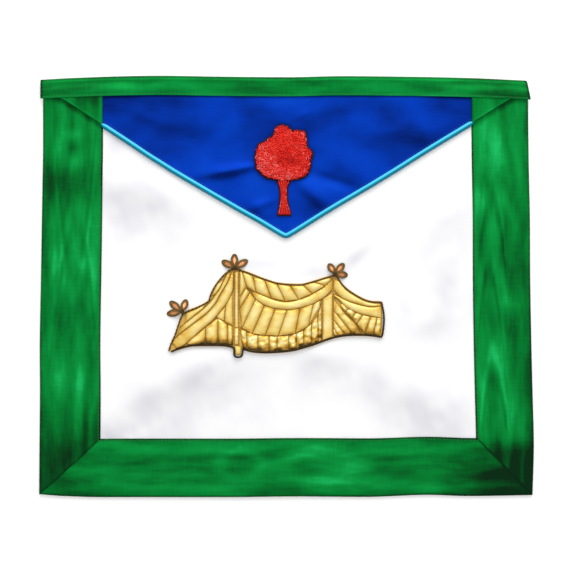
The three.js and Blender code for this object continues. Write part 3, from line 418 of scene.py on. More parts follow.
BOTTOM_MARKS = table(WAVE_COLUMNS, [
    (0.250, 0.108, 0.80, 0.07, 0, 0.42),
    (0.540, 0.112, 0.34, 0.09, 0, 0.40),
    (0.225, 0.080, 0.85, 0.12, 0, -0.36),
    (0.406, 0.079, 0.16, 0.10, 0, -0.22),
    (0.612, 0.074, 0.30, 0.16, 0, 0.34),
    (0.535, 0.076, 0.34, 0.10, 0, -0.36),
    (0.590, 0.052, 0.50, 0.06, 12, 0.30),
    (0.200, 0.050, 0.75, 0.06, -1, 0.46),
    (0.247, 0.032, 0.50, 0.07, 0, -0.34),
    (0.331, 0.020, 0.50, 0.07, 0, 0.30),
    (0.499, 0.020, 0.50, 0.08, 0, -0.38),
    (0.630, 0.039, 0.60, 0.06, 5, 0.34),
    (0.709, 0.077, 0.40, 0.11, 0, -0.34),
    (0.740, 0.104, 0.70, 0.06, -1, 0.36),
    (0.800, 0.070, 0.50, 0.09, -8, 0.18),
    (0.930, 0.030, 0.95, 0.40, -4, -0.50),
    (0.985, 0.012, 0.60, 0.20, 0, -0.50),
    (0.965, 0.040, 0.70, 0.50, 0, -0.42),
    (0.798, 0.018, 0.22, 0.07, 0, 0.62),
    (0.053, 0.029, 0.45, 0.16, 0, -0.50),
])
BAND_MARKS = table(WAVE_COLUMNS, [
    (0.180, 0.972, 0.80, 0.06, 0, 0.15),
    (0.480, 0.975, 0.90, 0.08, 0, -0.35),
    (0.660, 0.976, 0.60, 0.08, 0, 0.30),
    (0.325, 0.980, 0.50, 0.06, 0, 0.12),
    (0.955, 0.965, 0.60, 0.12, 0, -0.45),
    (0.030, 0.970, 0.45, 0.12, 0, -0.40),
])

# Rings and nests of pointed arches in it: middle or point, reach along and across the apron as shares of
# BORDER_LEFT, strength
RINGS = table(("u", "v", "wide", "long", "high"), [
    (0.406, 0.079, 0.36, 0.20, 0.34),
    (0.570, 0.073, 0.66, 0.23, 0.34),
])
ARCHES = table(("u", "v", "wide", "long", "high"), [
    (0.921, 0.765, 0.20, 0.85, 0.30),
    (0.916, 0.590, 0.17, 0.80, 0.30),
    (0.921, 0.352, 0.20, 0.90, 0.40),
    (0.067, 0.470, -0.24, -1.10, 0.28),
    (0.070, 0.700, 0.26, 0.95, 0.25),
])

# The three ribbons round the apron: side, width that is seen, place of the cloth's pattern, marks, how dark
# the mitred ends are and how dull the part is that turns from the light below
BORDERS = table(("name", "side", "front", "seed", "marks", "mitre_dark", "dull"), [
    ("border_left", "left", BORDER_LEFT, 0, LEFT_MARKS, 0.35, 0.22),
    ("border_right", "right", BORDER_RIGHT, 31, RIGHT_MARKS, 0.75, 0.72),
    ("border_bottom", "bottom", BORDER_BOTTOM, 67, BOTTOM_MARKS, 0.35, 0),
])

# The camera looks straight down, as the photograph does
PICTURE_PX = 573
MM_PER_PX = 0.83
CAMERA_HEIGHT = 2500
SENSOR = 36


def smooth(low, high, x):
    """Rises from 0 at low to 1 at high, with no corner at either."""
    t = np.clip((np.asarray(x, float) - low) / (high - low), 0, 1)
    return t * t * (3 - 2 * t)


def mix(a, b, share):
    """A share of the way from a to b."""
    return a + (b - a) * share


def read(rows, by, give, t):
    """The value of column `give` at `t` in column `by`, on a smooth line through the rows."""
    places = np.array([row[by] for row in rows])
    value = np.array([row[give] for row in rows])
    x = np.clip(t, places[0], places[-1])
    i = np.clip(np.searchsorted(places, x) - 1, 0, len(places) - 2)
    span = np.diff(places)
    slope = np.diff(value) / span
    joint = np.zeros(len(places))
    product = slope[:-1] * slope[1:]
    total = slope[:-1] + slope[1:]
    joint[1:-1] = np.where(product > 0, 2 * product / np.where(product > 0, total, 1), 0)
    joint[0] = slope[0]
    joint[-1] = slope[-1]
    s = (x - places[i]) / span[i]
    rise = value[i + 1] - value[i]
    start = joint[i] * span[i]
    end = joint[i + 1] * span[i]
    return value[i] + s * (start + s * (3 * rise - 2 * start - end + s * (start + end - 2 * rise)))


def ridge(row, x, y, size):
    """Height at (x, y) of a row's soft ridge, in shares of the height that the row names."""
    turn = math.radians(row["turn"])
    along = (x * math.cos(turn) + y * math.sin(turn)) / (row["long"] * size)
    across = (y * math.cos(turn) - x * math.sin(turn)) / (row["wide"] * size)
    return row["high"] * np.exp(-along * along - across * across)


def hump(distance, reach):
    """A soft rise of height 1 at distance 0, gone by about two reaches."""
    return np.exp(-(distance / reach) ** 2)


def apron_place(row):
    """Where a row's shares of the apron's width and length are."""
    return (row["u"] - 0.5) * APRON_WIDTH, (row["v"] - 0.5) * APRON_LENGTH


def ridges(rows, x, y, size):
    """Sum of ridges that are placed by shares of the apron's width and length."""
    total = 0
    for row in rows:
        middle_x, middle_y = apron_place(row)
        total = total + ridge(row, x - middle_x, y - middle_y, size)
    return total


def lie(x, y):
    """Height by which the laid apron rises off the table, less what it sags inside its folded edges."""
    calm = 1 - smooth(HALF_LENGTH - 4 * BAND_FRONT, HALF_LENGTH - BAND_FRONT, y)
    waves = WAVE_HEIGHT * ridges(WAVES, x, y, APRON_WIDTH) + DENT_HEIGHT * ridges(DENTS, x, y, APRON_WIDTH)
    beside = smooth(TURN_IN, TURN_IN + SAG_SPAN, HALF_WIDTH - np.abs(x))
    below = smooth(TURN_IN, TURN_IN + SAG_SPAN, HALF_LENGTH - np.abs(y))
    return calm * waves - beside * below * (PANEL_BASE - FLOOR_GAP)


def lay(x, y, z):
    """Points of the flat cut, moved to where they are on the laid apron."""
    x, y, z = np.broadcast_arrays(np.asarray(x, float), np.asarray(y, float), np.asarray(z, float))
    u = x / APRON_WIDTH + 0.5
    v = y / APRON_LENGTH + 0.5
    across = read(LEFT_EDGE, "at", "by", v) * (1 - u) - read(RIGHT_EDGE, "at", "by", v) * u
    along = read(BOTTOM_EDGE, "at", "by", u) * (1 - v) - read(TOP_EDGE, "at", "by", u) * v
    return np.stack([x + across * EDGE_WANDER, y + along * EDGE_WANDER, z + lie(x, y)], -1)


def flap_ridges(rows, x, y):
    """Sum of ridges that are placed from the flap's tip by shares of FLAP_SPREAD."""
    total = 0
    for row in rows:
        from_x = x - row["x"] * FLAP_SPREAD
        from_y = y - TIP_Y - row["y"] * FLAP_SPREAD
        total = total + ridge(row, from_x, from_y, FLAP_SPREAD)
    return total


def lay_flap(x, y, z):
    """The same for points of the flap, which has folds of its own that end below the band."""
    calm = 1 - smooth(HALF_LENGTH - 3 * BAND_FRONT, HALF_LENGTH - 1.2 * BAND_FRONT, y)
    folds = FOLD_HEIGHT * flap_ridges(FOLDS, x, y)
    creases = CREASE_HEIGHT * flap_ridges(CREASES, x, y)
    return lay(x, y, z + calm * (folds + creases))


def watering_and_shade(marks, x, y):
    """Light and dark of the watered ribbon at (x, y), from about -1 to 1, with painted shade where its marks
    darken the lower corners.
    """
    ring_line = 0.32
    nest_middle = 0.3
    nest_reach = 0.5
    arch_width = 1.5
    corner_fade = 8
    tone = ridges(marks, x, y, MARK_SPREAD)
    for ring in RINGS:
        middle_x, middle_y = apron_place(ring)
        across = (x - middle_x) / (ring["wide"] * BORDER_LEFT)
        along = (y - middle_y) / (ring["long"] * BORDER_LEFT)
        tone = tone + ring["high"] * hump(np.hypot(across, along) - 1, ring_line)
    for arch in ARCHES:
        point_x, point_y = apron_place(arch)
        across = (x - point_x) / (arch["wide"] * BORDER_LEFT)
        nest = (point_y - y) / (arch["long"] * BORDER_LEFT) - across * across
        fade = hump(nest - nest_middle, nest_reach) * np.exp(-(across / arch_width) ** 4)
        above_corner = smooth(0, corner_fade, y - BORDER_BOTTOM + HALF_LENGTH)
        tone = tone + arch["high"] * fade * above_corner * np.cos(math.tau * nest)
    return tone


def ripple(x, y, size, seed, count=9):
    """Gentle unevenness between about -1 and 1, from a few seeded waves of about this size."""
    shortest = 0.7
    longest = 1.5
    draw = np.random.default_rng(seed)
    total = 0
    for _ in range(count):
        turn = draw.uniform(0, math.tau)
        length = size * draw.uniform(shortest, longest)
        phase = draw.uniform(0, math.tau)
        total = total + np.sin(math.tau * (x * math.cos(turn) + y * math.sin(turn)) / length + phase)
    return total / math.sqrt(count)


def unit(vectors):
    """Vectors drawn out or in to a length of one."""
    return vectors / np.maximum(np.linalg.norm(vectors, axis=-1, keepdims=True), NEARLY_ZERO)


def form(points, faces, cloth, tone):
    """Points, four-sided faces turned outwards, and each point's cloth coordinates and tone."""
    corner = points[faces]
    halves = np.cross(corner[:, 1], corner[:, 2]) + np.cross(corner[:, 2], corner[:, 3])
    if (corner[:, 0] * halves).sum() < 0:
        faces = faces[:, ::-1]
    return {"points": points, "faces": faces, "cloth": cloth, "tone": tone}


def gather(forms):
    """Several forms as one."""
    starts = np.cumsum([0] + [len(f["points"]) for f in forms[:-1]])
    whole = {key: np.concatenate([f[key] for f in forms]) for key in ("points", "cloth", "tone")}
    whole["faces"] = np.concatenate([f["faces"] + start for f, start in zip(forms, starts)])
    return whole


def stops(length, cell, hem=0.5):
    """Shares from 0 to 1 of a length, about one cell apart, with a narrow one at each end."""
    count = max(2, round(length / cell))
    inner = np.linspace(hem, length - hem, count)
    return np.concatenate([[0], inner, [length]]) / length


def flat_cloth(x, y):
    """Cloth coordinates of a sheet that is woven along X and Y."""
    return np.stack([x, y, 0 * x], -1)


def shell(upper, lower, cloth, tone=None, bulge=0.3):
    """A closed sheet between two grids of points, with a rounded rim."""
    rows, columns = upper.shape[:2]
    size = rows * columns
    index = np.arange(size).reshape(rows, columns)
    rightwards = np.arange(columns - 1)
    upwards = np.arange(rows - 1)
    j = np.r_[0 * rightwards, upwards, 0 * rightwards + rows - 1, rows - 1 - upwards]
    i = np.r_[rightwards, 0 * upwards + columns - 1, columns - 1 - rightwards, 0 * upwards]
    middle = (upper + lower) / 2
    rim = middle[j, i]
    inside = middle[np.clip(j, 1, rows - 2), np.clip(i, 1, columns - 2)]
    rim = rim + bulge * unit(rim - inside)
    top = np.stack([index[:-1, :-1], index[:-1, 1:], index[1:, 1:], index[1:, :-1]], -1).reshape(-1, 4)
    here = index[j, i]
    after = np.roll(here, -1)
    side = 2 * size + np.arange(len(j))
    side_after = np.roll(side, -1)
    faces = np.concatenate([
        top,
        top[:, ::-1] + size,
        np.stack([side, side_after, after, here], -1),
        np.stack([here + size, after + size, side_after, side], -1),
    ])
    if tone is None:
        tone = np.zeros((rows, columns))
    points = np.concatenate([upper.reshape(-1, 3), lower.reshape(-1, 3), rim])
    coordinates = np.concatenate([cloth.reshape(-1, 3), cloth.reshape(-1, 3), cloth[j, i]])
    tones = np.concatenate([tone.ravel(), tone.ravel(), tone[j, i]])
    return form(points, faces, coordinates, tones)


def ring_faces(rings, sides):
    """Faces of rings of points, joined one to the next, with a point after the last that closes each end."""
    ring = np.arange(rings * sides).reshape(rings, sides)
    turned = np.roll(ring, -1, axis=1)
    walls = np.stack([ring[:-1], turned[:-1], turned[1:], ring[1:]], -1).reshape(-1, 4)
    pairs = np.arange(0, sides, 2)
    first = rings * sides
    ends = []
    for centre, loop in ((first, ring[0, ::-1]), (first + 1, ring[-1])):
        ends.append(np.stack([
            np.full(len(pairs), centre), loop[pairs], loop[(pairs + 1) % sides], loop[(pairs + 2) % sides],
        ], -1))
    return np.concatenate([walls, *ends])


def run_along(path):
    """How far along a path each of its points is."""
    return np.r_[0, np.cumsum(np.linalg.norm(np.diff(path, axis=0), axis=1))]


def path_frame(path):
    """The ways to the side and over at each point of a path."""
    ahead = unit(np.gradient(path, axis=0))
    side = unit(np.cross(ahead, UP))
    return side, np.cross(side, ahead)


def sweep(path, radius, sides=8, tint=0.0):
    """A closed tube along a path, whose radius may change along it."""
    path = np.asarray(path, float)
    radius = np.broadcast_to(radius, len(path))
    side, over = path_frame(path)
    angle = np.linspace(0, math.tau, sides, endpoint=False)
    out = np.cos(angle)[:, None] * side[:, None] + np.sin(angle)[:, None] * over[:, None]
    rings = path[:, None] + radius[:, None, None] * out
    along = run_along(path)
    around = angle * radius.mean()
    cloth = np.stack(np.broadcast_arrays(along[:, None], around[None], np.full((len(path), sides), tint)), -1)
    points = np.concatenate([rings.reshape(-1, 3), path[:1], path[-1:]])
    coordinates = np.concatenate([cloth.reshape(-1, 3), cloth[0, :1], cloth[-1, :1]])
    return form(points, ring_faces(len(path), sides), coordinates, np.full(len(points), tint))


def resample(path, step):
    """Points of a path at even steps along it."""
    path = np.asarray(path, float)
    along = run_along(path)
    even = np.linspace(0, along[-1], max(3, round(along[-1] / step) + 1))
    return np.stack([np.interp(even, along, path[:, k]) for k in range(path.shape[1])], -1)


def spline(points, per_span=12):
    """A smooth line through points."""
    points = np.asarray(points, float)
    if len(points) < 3:
        return points
    ends = np.concatenate([2 * points[:1] - points[1:2], points, 2 * points[-1:] - points[-2:-1]])
    a, b, c, d = ends[:-3], ends[1:-2], ends[2:-1], ends[3:]
    t = (np.arange(per_span) / per_span)[None, :, None]
    a, b, c, d = (p[:, None] for p in (a, b, c, d))
    line = b + t * ((c - a) / 2 + t * (a - 2.5 * b + 2 * c - d / 2 + t * ((d - a) / 2 + 1.5 * (b - c))))
    return np.concatenate([line.reshape(-1, points.shape[1]), points[-1:]])


def twisted(path, radius, pitch, plies=2, sides=6, tint=0.0):
    """A cord of plies laid round each other along a path, whose radius may be given at even steps of it."""
    steps_per_turn = 8
    ply_offset = 0.5
    ply_thick = 0.56
    path = resample(path, pitch / steps_per_turn)
    radii = np.atleast_1d(radius)
    radius = np.interp(np.linspace(0, 1, len(path)), np.linspace(0, 1, len(radii)), radii)
    side, over = path_frame(path)
    along = run_along(path)
    cords = []
    for ply in range(plies):
        angle = (math.tau * (along / pitch + ply / plies))[:, None]
        centre = path + ply_offset * radius[:, None] * (np.cos(angle) * side + np.sin(angle) * over)
        cords.append(sweep(centre, ply_thick * radius, sides, tint))
    return gather(cords)


def stamped(one, origins, ahead, over, tints):
    """Copies of a form, each turned so that its X runs ahead and its Z runs over."""
    ahead = unit(ahead)
    side = unit(np.cross(over, ahead))
    over = np.cross(ahead, side)
    turn = np.stack([ahead, side, over], 1)
    points = np.einsum("pk,nkj->npj", one["points"], turn) + origins[:, None]
    count = len(one["points"])
    faces = one["faces"][None] + (np.arange(len(origins)) * count)[:, None, None]
    cloth = np.broadcast_to(one["cloth"], (len(origins), count, 3)).copy()
    cloth[..., 2] = tints[:, None]
    return {
        "points": points.reshape(-1, 3), "faces": faces.reshape(-1, 4),
        "cloth": cloth.reshape(-1, 3), "tone": np.repeat(tints, count),
    }


def build(name, shape, *materials):
    """A mesh object from a form, with its cloth coordinates and tone as attributes."""
    mesh = bpy.data.meshes.new(name)
    mesh.from_pydata((shape["points"] * MM).tolist(), [], shape["faces"].tolist())
    cloth = mesh.attributes.new("cloth", "FLOAT_VECTOR", "POINT")
    cloth.data.foreach_set("vector", np.ascontiguousarray(shape["cloth"], np.float32).ravel())
    tone = mesh.attributes.new("tone", "FLOAT", "POINT")
    tone.data.foreach_set("value", np.ascontiguousarray(shape["tone"], np.float32))
    mesh.shade_smooth()
    for material in materials:
        mesh.materials.append(material)
    piece = bpy.data.objects.new(name, mesh)
    bpy.context.scene.collection.objects.link(piece)
    return piece


def place(piece, slot, *nodes):
    """Puts a piece on the apron and hides the frame's nodes that it stands for; `slot`, its finish, is not
    used.
    """
    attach(piece, "root")
    if nodes:
        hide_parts(*nodes)
    return piece


def linear(colour):
    """A colour given as sRGB hex, as linear red, green, blue and alpha."""
    knee = 0.04045
    slope = 12.92
    offset = 0.055
    power = 2.4
    parts = [int(colour[i:i + 2], 16) / 255 for i in (0, 2, 4)]
    return [c / slope if c <= knee else ((c + offset) / (1 + offset)) ** power for c in parts] + [1]


def add(tree, kind, inputs, **settings):
    """Adds a shader node with its settings, and links or sets its inputs."""
    made = tree.nodes.new("ShaderNode" + kind)
    for name, value in settings.items():
        setattr(made, name, value)
    for name, value in inputs.items():
        if isinstance(value, bpy.types.NodeSocket):
            tree.links.new(value, made.inputs[name])
        else:
            made.inputs[name].default_value = value
    return made.outputs


def start_material(name):
    """An empty node material, its tree, and the cloth coordinates and tone of what it is on."""
    material = bpy.data.materials.new(name)
    material.use_nodes = True
    tree = material.node_tree
    tree.nodes.clear()
    cloth = add(tree, "Attribute", {}, attribute_name="cloth")["Vector"]
    tone = add(tree, "Attribute", {}, attribute_name="tone")["Fac"]
    return material, tree, cloth, tone


def stretched(tree, cloth, along, across, detail=2.0, roughness=0.5, seed=0.0):
    """Noise whose grain is about `along` by `across` millimetres."""
    scaled = add(tree, "Mapping", {
        "Vector": cloth, "Location": (seed, seed, 0), "Scale": (1 / along, 1 / across, 1),
    })["Vector"]
    return add(tree, "TexNoise", {
        "Vector": scaled, "Scale": 1.0, "Detail": detail, "Roughness": roughness,
    })["Fac"]


def sum_of(tree, *terms):
    """Sum of a number and of values, each given as a socket and what it is multiplied by."""
    total = terms[0]
    for value, share in terms[1:]:
        total = add(tree, "Math", {0: value, 1: share, 2: total}, operation="MULTIPLY_ADD")[0]
    return total


def tinted(tree, share, *colours):
    """A blend through colours, evenly placed from share 0 to 1."""
    last = len(colours) - 1
    blend = linear(colours[0])
    for i, colour in enumerate(colours[1:]):
        ends = {"Value": share, "From Min": i / last, "From Max": (i + 1) / last}
        part = add(tree, "MapRange", ends)["Result"]
        blend = add(tree, "MixRGB", {"Fac": part, "Color1": blend, "Color2": linear(colour)})["Color"]
    return blend


def finish_material(material, tree, height, depth, shader):
    """Ends a material with its surface shader, with bumps of `depth` millimetres where a height is given."""
    if height is not None:
        bump = {"Height": height, "Distance": depth * MM, "Strength": 1.0}
        shader["Normal"] = add(tree, "Bump", bump)["Normal"]
    surface = add(tree, "BsdfPrincipled", shader)["BSDF"]
    add(tree, "OutputMaterial", {"Surface": surface})
    return material


def white_satin():
    """Heavy white satin with a close smooth face: bright, cool, with a soft even sheen."""
    material, tree, cloth, tone = start_material("duchesse_satin")
    # The warp's threads are 0.1 mm apart, too fine to show, and are drawn 0.9 mm apart
    warp = stretched(tree, cloth, along=0.9, across=14, seed=3)
    cloud = stretched(tree, cloth, along=60, across=45, seed=8)
    shade = sum_of(tree, 0.88, (warp, 0.06), (cloud, 0.14), (tone, 0.60))
    return finish_material(material, tree, height=warp, depth=0.015, shader={
        "Base Color": tinted(tree, shade, "c9c8d4", "ffffff"), "Metallic": 0.3,
        "Roughness": 0.4, "Specular IOR Level": 0.3,
    })


def cotton_lining():
    """Plain woven white cotton on the back: dull, with a faint check of its threads."""
    material, tree, cloth, _ = start_material("cotton_lining")
    # Threads of 0.4 mm are drawn three times as wide, so that their check shows
    warp = stretched(tree, cloth, along=1.2, across=12, seed=1)
    weft = stretched(tree, cloth, along=12, across=1.2, seed=2)
    weave = sum_of(tree, 0.0, (warp, 0.5), (weft, 0.5))
    return finish_material(material, tree, height=weave, depth=0.05, shader={
        "Base Color": tinted(tree, weave, "cfccc6", "e6e4df", "f1f0ec"), "Roughness": 0.9,
    })


def green_moire():
    """Watered silk ribbon: crushed ribs that shine in soft clouds along it, between duller stretches."""
    material, tree, cloth, tone = start_material("watered_silk")
    flame_width = 17
    flame_sway = 1.9
    sway = stretched(tree, cloth, along=85, across=38, detail=1, seed=4)
    fade = stretched(tree, cloth, along=60, across=22, detail=1, seed=9)
    cloud = stretched(tree, cloth, along=42, across=11, detail=2, roughness=0.5, seed=6)
    fine = stretched(tree, cloth, along=16, across=3.2, detail=2, roughness=0.55, seed=12)
    across = add(tree, "SeparateXYZ", {"Vector": cloth})["Y"]
    phase = sum_of(tree, 0.0, (across, math.tau / flame_width), (sway, flame_sway * math.tau))
    wave = add(tree, "Math", {0: phase}, operation="SINE")[0]
    shown = {"Value": fade, "From Min": 0.35, "From Max": 0.65, "To Max": 0.16}
    depth = add(tree, "MapRange", shown)["Result"]
    flames = add(tree, "Math", {0: wave, 1: depth}, operation="MULTIPLY")[0]
    # The ribs are 0.4 mm apart, too fine to show, and are drawn 1.9 mm apart
    ribs = stretched(tree, cloth, along=1.9, across=14, detail=1, seed=2)
    shade = sum_of(tree, 0.09, (flames, 1.0), (cloud, 0.52), (fine, 0.26), (ribs, 0.12), (tone, 0.50))
    return finish_material(material, tree, height=ribs, depth=0.05, shader={
        "Base Color": tinted(tree, shade, "082c14", "03521e", "03782e", "08913e", "1ab65e"), "Metallic": 0.4,
        "Roughness": 0.42, "Specular IOR Level": 0.04,
    })


def blue_satin():
    """Royal blue satin: deep, smooth, brighter where it turns to the light."""
    material, tree, cloth, tone = start_material("royal_satin")
    # As coarse as the white satin's threads, but woven across the flap
    warp = stretched(tree, cloth, along=12, across=0.9, seed=5)
    cloud = stretched(tree, cloth, along=50, across=36, detail=2, seed=7)
    shade = sum_of(tree, -0.20, (warp, 0.2), (cloud, 1.1), (tone, 0.6))
    return finish_material(material, tree, height=warp, depth=0.015, shader={
        "Base Color": tinted(tree, shade, "01165a", "0138b0", "0649c8"), "Metallic": 0.4,
        "Roughness": 0.5, "Specular IOR Level": 0.04,
    })


def turquoise_satin():
    """Bias-cut satin drawn over a cord: glossy, with fine slanting threads, and painted light on the side
    towards the lamp and painted shade on the other.
    """
    material, tree, cloth, tone = start_material("piping_satin")
    bias = math.radians(38)
    slant = add(tree, "Mapping", {"Vector": cloth, "Rotation": (0, 0, bias)})["Vector"]
    # Threads of 0.1 mm, drawn 0.8 mm wide
    threads = stretched(tree, slant, along=0.8, across=14, detail=1, seed=3)
    shade = sum_of(tree, 0.45, (threads, 0.25), (tone, 0.5))
    return finish_material(material, tree, height=threads, depth=0.05, shader={
        "Base Color": tinted(tree, shade, "006a7c", "0292b4", "28bce6", "52d2fa"),
        "Roughness": 0.34, "Specular IOR Level": 0.2,
    })


def red_purl():
    """Short cut lengths of fine coiled wire thread: each glints by itself, tinted from dark red to pale pink,
    the palest as painted glints.
    """
    material, tree, cloth, tone = start_material("red_purl")
    # The wire is coiled five times to a millimetre, and is drawn twice to a millimetre
    coils = stretched(tree, cloth, along=0.5, across=30, detail=0, seed=1)
    return finish_material(material, tree, height=coils, depth=0.08, shader={
        "Base Color": tinted(tree, tone, "7a060a", "c61410", "e62414", "ee443c", "f88a88"), "Metallic": 0.35,
        "Roughness": 0.34, "Specular IOR Level": 0.25,
    })


def maroon_felt():
    """Thin wool felt under the red work: dull, and so dark a red that it also stands in for painted shade
    round the tree.
    """
    material, tree, cloth, _ = start_material("maroon_felt")
    nap = stretched(tree, cloth, along=0.7, across=0.7, detail=3, seed=2)
    return finish_material(material, tree, height=nap, depth=0.15, shader={
        "Base Color": tinted(tree, nap, "180418", "380620"), "Roughness": 0.95,
    })


def gold_lame():
    """Cloth woven of flat gilt strips, drawn over padding: a warm broken shine, with painted shade along its
    seams.
    """
    material, tree, cloth, tone = start_material("gilt_cloth")
    # The strips are 0.3 mm wide, and are drawn twice as wide
    strips = stretched(tree, cloth, along=9, across=0.6, detail=1, seed=4)
    cloud = stretched(tree, cloth, along=9, across=7, detail=2, seed=6)
    shade = sum_of(tree, -0.16, (strips, 0.20), (cloud, 0.40), (tone, 0.72))
    return finish_material(material, tree, height=strips, depth=0.04, shader={
        "Base Color": tinted(tree, shade, "4a3e14", "a87a26", "dcae46", "f3d67c", "fbeaa8"), "Metallic": 0.45,
        "Roughness": 0.36, "Specular IOR Level": 0.35,
    })


def gold_felt():
    """Felt under the gilt cloth, seen only in the seams: dull gold."""
    material, tree, cloth, _ = start_material("ochre_felt")
    nap = stretched(tree, cloth, along=0.7, across=0.7, detail=3, seed=5)
    return finish_material(material, tree, height=nap, depth=0.1, shader={
        "Base Color": tinted(tree, nap, "cc9c3e", "e6c064"), "Roughness": 0.8,
    })


def gimp(name, dark, middle, light):
    """Metal thread wound round a core: hard little glints along the twist."""
    material, tree, cloth, tone = start_material(name)
    # Its windings are 0.2 mm apart, and are drawn 0.45 mm apart
    windings = stretched(tree, cloth, along=0.45, across=20, detail=1, seed=3)
    worn = stretched(tree, cloth, along=6, across=30, detail=2, seed=8)
    shade = sum_of(tree, -0.2, (windings, 0.6), (worn, 0.8), (tone, 1.0))
    return finish_material(material, tree, height=windings, depth=0.06, shader={
        "Base Color": tinted(tree, shade, dark, middle, light), "Metallic": 0.45, "Roughness": 0.42,
    })


def sewing_thread(name, dark, light):
    """Mercerised sewing thread: smooth, with a slight lustre."""
    material, tree, cloth, _ = start_material(name)
    # Its plies turn once in 0.6 mm
    plies = stretched(tree, cloth, along=0.6, across=10, detail=1, seed=1)
    return finish_material(material, tree, height=plies, depth=0.03, shader={
        "Base Color": tinted(tree, plies, dark, light), "Roughness": 0.5, "Sheen Weight": 0.1,
    })


def white_sweep():
    """White paper that the apron lies on, evenly lit."""
    material, tree, _, _ = start_material("paper_sweep")
    place_on = add(tree, "TexCoord", {})["Object"]
    fibre = add(tree, "TexNoise", {"Vector": place_on, "Scale": 40.0, "Detail": 3.0})["Fac"]
    return finish_material(material, tree, height=None, depth=0, shader={
        "Base Color": tinted(tree, fibre, "fafafa", "ffffff"), "Roughness": 0.9,
        "Emission Color": linear("ffffff"), "Emission Strength": 0.25,
    })


def grid(across, along):
    """Two shares as grids: u along each row, v from row to row."""
    return np.meshgrid(across, along)


def make_panel(satin, lining):
    """The white ground, held a fold's radius inside the ribbons."""
    width = 2 * (HALF_WIDTH - BORDER_FOLD)
    bottom = BORDER_FOLD - HALF_LENGTH
    top = HALF_LENGTH - BAND_FOLD
    cell = 3.0
    u, v = grid(stops(width, cell), stops(top - bottom, cell))
    x = (u - 0.5) * width
    y = mix(bottom, top, v)
    broad = 0.34 * ripple(x, y, size=34, seed=SEED + 5)
    narrow = 0.12 * ripple(x, y, size=14, seed=SEED + 6)
    tone = -ridges(SHADES, x, y, APRON_WIDTH) * (1 + broad + narrow)
    shape = shell(lay(x, y, PANEL_TOP), lay(x, y, PANEL_BASE), flat_cloth(x, y), tone)
    piece = build("panel_satin", shape, satin, lining)
    faces = u.size - u.shape[0] - u.shape[1] + 1
    for polygon in piece.data.polygons[faces:2 * faces]:
        polygon.material_index = 1
    place(piece, "white_satin", "satin_panel")
    return piece


def folded_ribbon(front, back, top):
    """Middle line of a ribbon folded round an edge, from its front edge over the fold to its back edge:
    distance from the edge, height, and the way that faces out."""
    radius = (top - RIBBON_THICK) / 2
    middle = top / 2
    cell = 1.3
    turns = 8
    ahead = mix(front, middle, stops(front - middle, cell)[:-1])
    angle = math.pi * (0.5 + np.arange(turns + 1) / turns)
    behind = mix(middle, back, stops(back - middle, 3 * cell)[1:])
    above = np.full(len(ahead), middle + radius)
    below = np.full(len(behind), middle - radius)
    return {
        "d": np.r_[ahead, middle + radius * np.cos(angle), behind],
        "z": np.r_[above, middle + radius * np.sin(angle), below],
        "out_d": np.r_[0 * ahead, np.cos(angle), 0 * behind],
        "out_z": np.r_[np.ones(len(ahead)), np.sin(angle), -np.ones(len(behind))],
    }


def make_binding(line, shares, ends, put, seed, mark):
    """A ribbon folded round one edge. `ends` gives where it starts and stops at distance d from the edge, and
    `put` gives a point at s along the edge, d inside it and z up."""
    middle = line["d"]
    along = np.r_[0, np.cumsum(np.hypot(np.diff(middle), np.diff(line["z"])))]
    layers = []
    for half in (RIBBON_THICK / 2, -RIBBON_THICK / 2):
        d = (middle + half * line["out_d"])[:, None]
        z = (line["z"] + half * line["out_z"])[:, None]
        start, stop = ends(d)
        s = mix(start, stop, shares[None])
        layers.append(put(s, d + 0 * s, z + 0 * s))
    cloth = np.stack(np.broadcast_arrays(s, along[:, None] + 0 * s, seed + 0 * s), -1)
    return shell(*layers, cloth, mark(s, middle[:, None] + 0 * s))


def painted_edge_shade(distance, width=1.0, strength=1.0):
    """Tone of painted shade in a darker line along an edge, `width` times as wide as a ribbon's last thread.
    """
    thread = 0.9
    dark = 0.8
    return -strength * dark * hump(distance, width * thread)


def border_ends(side, d):
    """Where the ribbon of one side starts and stops along its edge, `d` inside it, with mitred corners."""
    mitre = GAP / 2
    if side == "left":
        return d * BORDER_BOTTOM / BORDER_LEFT + mitre - HALF_LENGTH, UNDER_BAND + 0 * d
    if side == "right":
        return 0 * d - UNDER_BAND, HALF_LENGTH - d * BORDER_BOTTOM / BORDER_RIGHT - mitre
    start = d * BORDER_RIGHT / BORDER_BOTTOM + mitre - HALF_WIDTH
    return start, HALF_WIDTH - d * BORDER_LEFT / BORDER_BOTTOM - mitre


def border_place(side, s, d):
    """The flat place of a point s along one side's edge and d inside it."""
    return {"left": (d - HALF_WIDTH, s), "right": (HALF_WIDTH - d, -s), "bottom": (-s, d - HALF_LENGTH)}[side]


